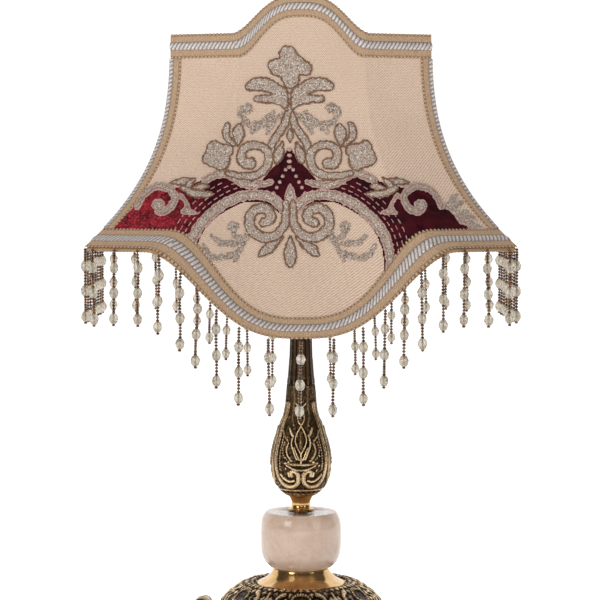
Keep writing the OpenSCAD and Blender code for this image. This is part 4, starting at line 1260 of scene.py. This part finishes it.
dome.build("base_dome.cast", BRASS, relief_scale=0.9, tone=0.5)

# Plinth ring: a leaf row between two beads, left out round the inlet of the flex
INLET_TURN, INLET_R, INLET_Z = math.radians(120), 67.2, 20
plinth = Cast([(65.2, 12.0), (67.4, 12.1), (68.2, 13.2), (68.2, 14.6), (67.2, 15.8), (66.9, 18), (66.9, 23),
               (67.2, 25.4), (68.2, 26.4), (68.2, 28.2), (67.2, 29.4), (65.4, 29.9), (63.2, 29.95)],
              0.4, 640, 16, bore=None)
from_inlet = np.abs((plinth.turn - (INLET_TURN - FRONT) + math.pi) % TAU - math.pi) * 68
leaf_row = np.clip((from_inlet - 8.6) / 1.5, 0, 1) * (0.9 * plinth.lobes(64, 0.7) - 0.5 * plinth.lobes(64, 16))
plinth.rise += leaf_row * bell(plinth.zz, 20.5, 3.4, 4)
plinth.rise += 0.35 * plinth.lobes(144) * bell(plinth.zz, 27.4, 1.2)
plinth.rise += 0.15
plinth.build("base_plinth.cast", BRASS, relief_scale=1.7,
             hole=((INLET_R * math.cos(INLET_TURN), INLET_R * math.sin(INLET_TURN), INLET_Z), 5.4))

# ---- Scroll feet ----

FOOT_TURN, FOOT_W = 75, 18
TOP_EYE, LOW_EYE = (74, 41), (80, 9.6)


def spiral(centre, start_angle, turns, r_in, r_out):
    """From near the centre out to start_angle at r_out."""
    a = np.linspace(0, 1, 40)
    r = r_in + (r_out - r_in) * a
    angle = math.radians(start_angle) + (a - 1) * turns * TAU
    return np.column_stack([centre[0] + r * np.cos(angle), centre[1] + r * np.sin(angle)])


def foot_parts():
    """One foot in its own frame, x outward, y across and z up: its points, faces and relief values."""
    top = spiral(TOP_EYE, 300, -1.35, 1.2, 6.0)
    body = catmull([top[-1], (75.5, 31.5), (77.5, 26), (82.5, 20), (85.2, 14)], step=1.0)[1:]
    low = spiral(LOW_EYE, 40, 1.3, 1.3, 6.6)[::-1]
    line = np.concatenate([top, body, low[1:]])
    run = run_along(line)
    ahead = unit(np.gradient(line, axis=0))
    out = np.column_stack([-ahead[:, 1], ahead[:, 0]])
    width = FOOT_W * (0.62 + 0.38 * np.sin(math.pi * np.clip(run / run[-1], 0, 1)) ** 0.7)
    across = np.linspace(-1, 1, 23)
    crown = 0.9 * (1 - across**2) + 0.7 * bell(across, 0, 0.16) + 0.5 * bell(np.abs(across), 0.86, 0.1)
    notch = 0.25 * np.abs(np.sin(run / 1.9))[:, None] * (np.abs(across) < 0.7) * (np.abs(across) > 0.25)
    lift = crown[None] + notch
    rows = []
    for side, height in ((-1, 0.9 + 0 * lift), (1, lift)):
        xz = line[:, None] + side * out[:, None] * (0.4 + height)[..., None]
        rows.append(np.stack([xz[..., 0], across[None] * width[:, None] / 2, xz[..., 1]], -1)[:, ::-side])
    points = np.concatenate(rows, 1)
    level = np.concatenate([0.4 + 0 * lift, 0.3 + lift / 2.1], 1)
    count = points.shape[1]
    faces = [grid_faces(len(line), count, False, True)]
    faces += [np.arange(count)[None, ::-1], (len(line) - 1) * count + np.arange(count)[None]]
    return points.reshape(-1, 3), faces, level.reshape(-1)


def core_parts():
    """Web between the two scrolls of a foot, against the plinth."""
    outline = catmull([(66.6, 15), (72, 12.5), (76, 8), (82, 13), (80.4, 20), (77, 26), (74.5, 32), (73.6, 37),
                       (70, 43), (66.6, 40), (67.6, 30)], closed=True, step=1.2)
    n = len(outline)
    middle = outline.mean(0)
    rings = []
    for y, inset in ((-6.4, 0.9), (-5.6, 0.97), (-4.6, 1.0), (4.6, 1.0), (5.6, 0.97), (6.4, 0.9)):
        ring = middle + (outline - middle) * inset
        rings.append(np.column_stack([ring[:, 0], np.full(n, y), ring[:, 1]]))
    faces = [grid_faces(len(rings), n, False, True)[:, ::-1], np.arange(n)[None],
             (len(rings) - 1) * n + np.arange(n)[None, ::-1]]
    return np.concatenate(rings), faces, np.full(n * len(rings), 0.2)


foot_pieces, levels = [], []
for k in range(4):
    angle = math.radians(FOOT_TURN + 90 * k)
    c, s = math.cos(angle), math.sin(angle)
    for points, faces, level in (foot_parts(), core_parts()):
        foot_pieces.append((points @ np.array([[c, s, 0], [-s, c, 0], [0, 0, 1]]), faces))
        levels.append(level)
make("scroll_feet.cast", *merge(foot_pieces), BRASS, "lamp", ("scroll_feet",),
     tints={"relief": np.concatenate(levels)})


# ---- Floor, lights and camera ----

floor_look = Look("pale_floor", Roughness=0.9, Specular_IOR_Level=0.05, Base_Color=rgb(250, 250, 250),
                  Emission_Color=(1, 1, 1, 1), Emission_Strength=0.55)
span, bend, wall = 6.0, 1.6, 4.0  # half width, where the floor bends up, and the height of the wall, in metres
profile = [(-span, 0), (bend, 0)] + [(bend + math.sin(a), 1 - math.cos(a)) for a in np.linspace(0.1, math.pi / 2, 14)]
profile.append((bend + 1, wall))
floor_points = [(x, y, z) for y, z in profile for x in (-span, span)]
floor_mesh = bpy.data.meshes.new("studio_floor")
floor_mesh.from_pydata(floor_points, [], grid_faces(len(profile), 2)[:, ::-1].tolist())
floor_mesh.shade_smooth()
floor_mesh.materials.append(floor_look.mat)
floor = bpy.data.objects.new("studio_floor", floor_mesh)
bpy.context.scene.collection.objects.link(floor)


# Lights: place, what each is aimed at, size and power
for name, place, aim, size, power in (
        ("key", (-1.5, -1.7, 1.2), (0, 0, 0.3), (0.9, 1.2), 16),
        ("fill", (1.7, -1.5, 0.9), (0, 0, 0.3), (0.8, 1.4), 5),
        ("top", (0, 0.2, 2.0), (0, 0, 0.2), (1.2, 1.2), 5),
        ("front", (0.1, -2.4, 0.7), (0, 0, 0.3), (1.4, 0.7), 3)):
    data = bpy.data.lights.new(name, "AREA")
    data.shape, data.energy = "RECTANGLE", power
    data.size, data.size_y = size
    light = bpy.data.objects.new(name, data)
    light.location = place
    light.rotation_mode = "QUATERNION"
    light.rotation_quaternion = Vector(np.subtract(aim, place)).to_track_quat("-Z", "Y")
    bpy.context.scene.collection.objects.link(light)

world = bpy.data.worlds.new("studio")
bpy.context.scene.world = world
world.use_nodes = True
background = world.node_tree.nodes["Background"]
rays = add_node(world.node_tree, "ShaderNodeLightPath").outputs
level = add_node(world.node_tree, "ShaderNodeMapRange", {
    "Value": rays["Is Camera Ray"], "To Min": 0.3, "To Max": 1.0})
# What shows in gloss is darker than what lights the lamp, so that metal has dark reflections
gloss = add_node(world.node_tree, "ShaderNodeMath", {
    0: rays["Is Glossy Ray"], 1: -0.2, 2: level.outputs["Result"]}, operation="MULTIPLY_ADD")
world.node_tree.links.new(gloss.outputs["Value"], background.inputs["Strength"])
background.inputs["Color"].default_value = (1, 1, 1, 1)

camera_data = bpy.data.cameras.new("camera")
camera_data.lens, camera_data.sensor_width = 131.6, 36
camera = bpy.data.objects.new("camera", camera_data)
camera.location = (-0.0007, -1.58, 0.355)
camera.rotation_euler = (math.radians(86.79), 0, 0)
bpy.context.scene.collection.objects.link(camera)
bpy.context.scene.camera = camera
bpy.context.scene.view_settings.view_transform = "Standard"
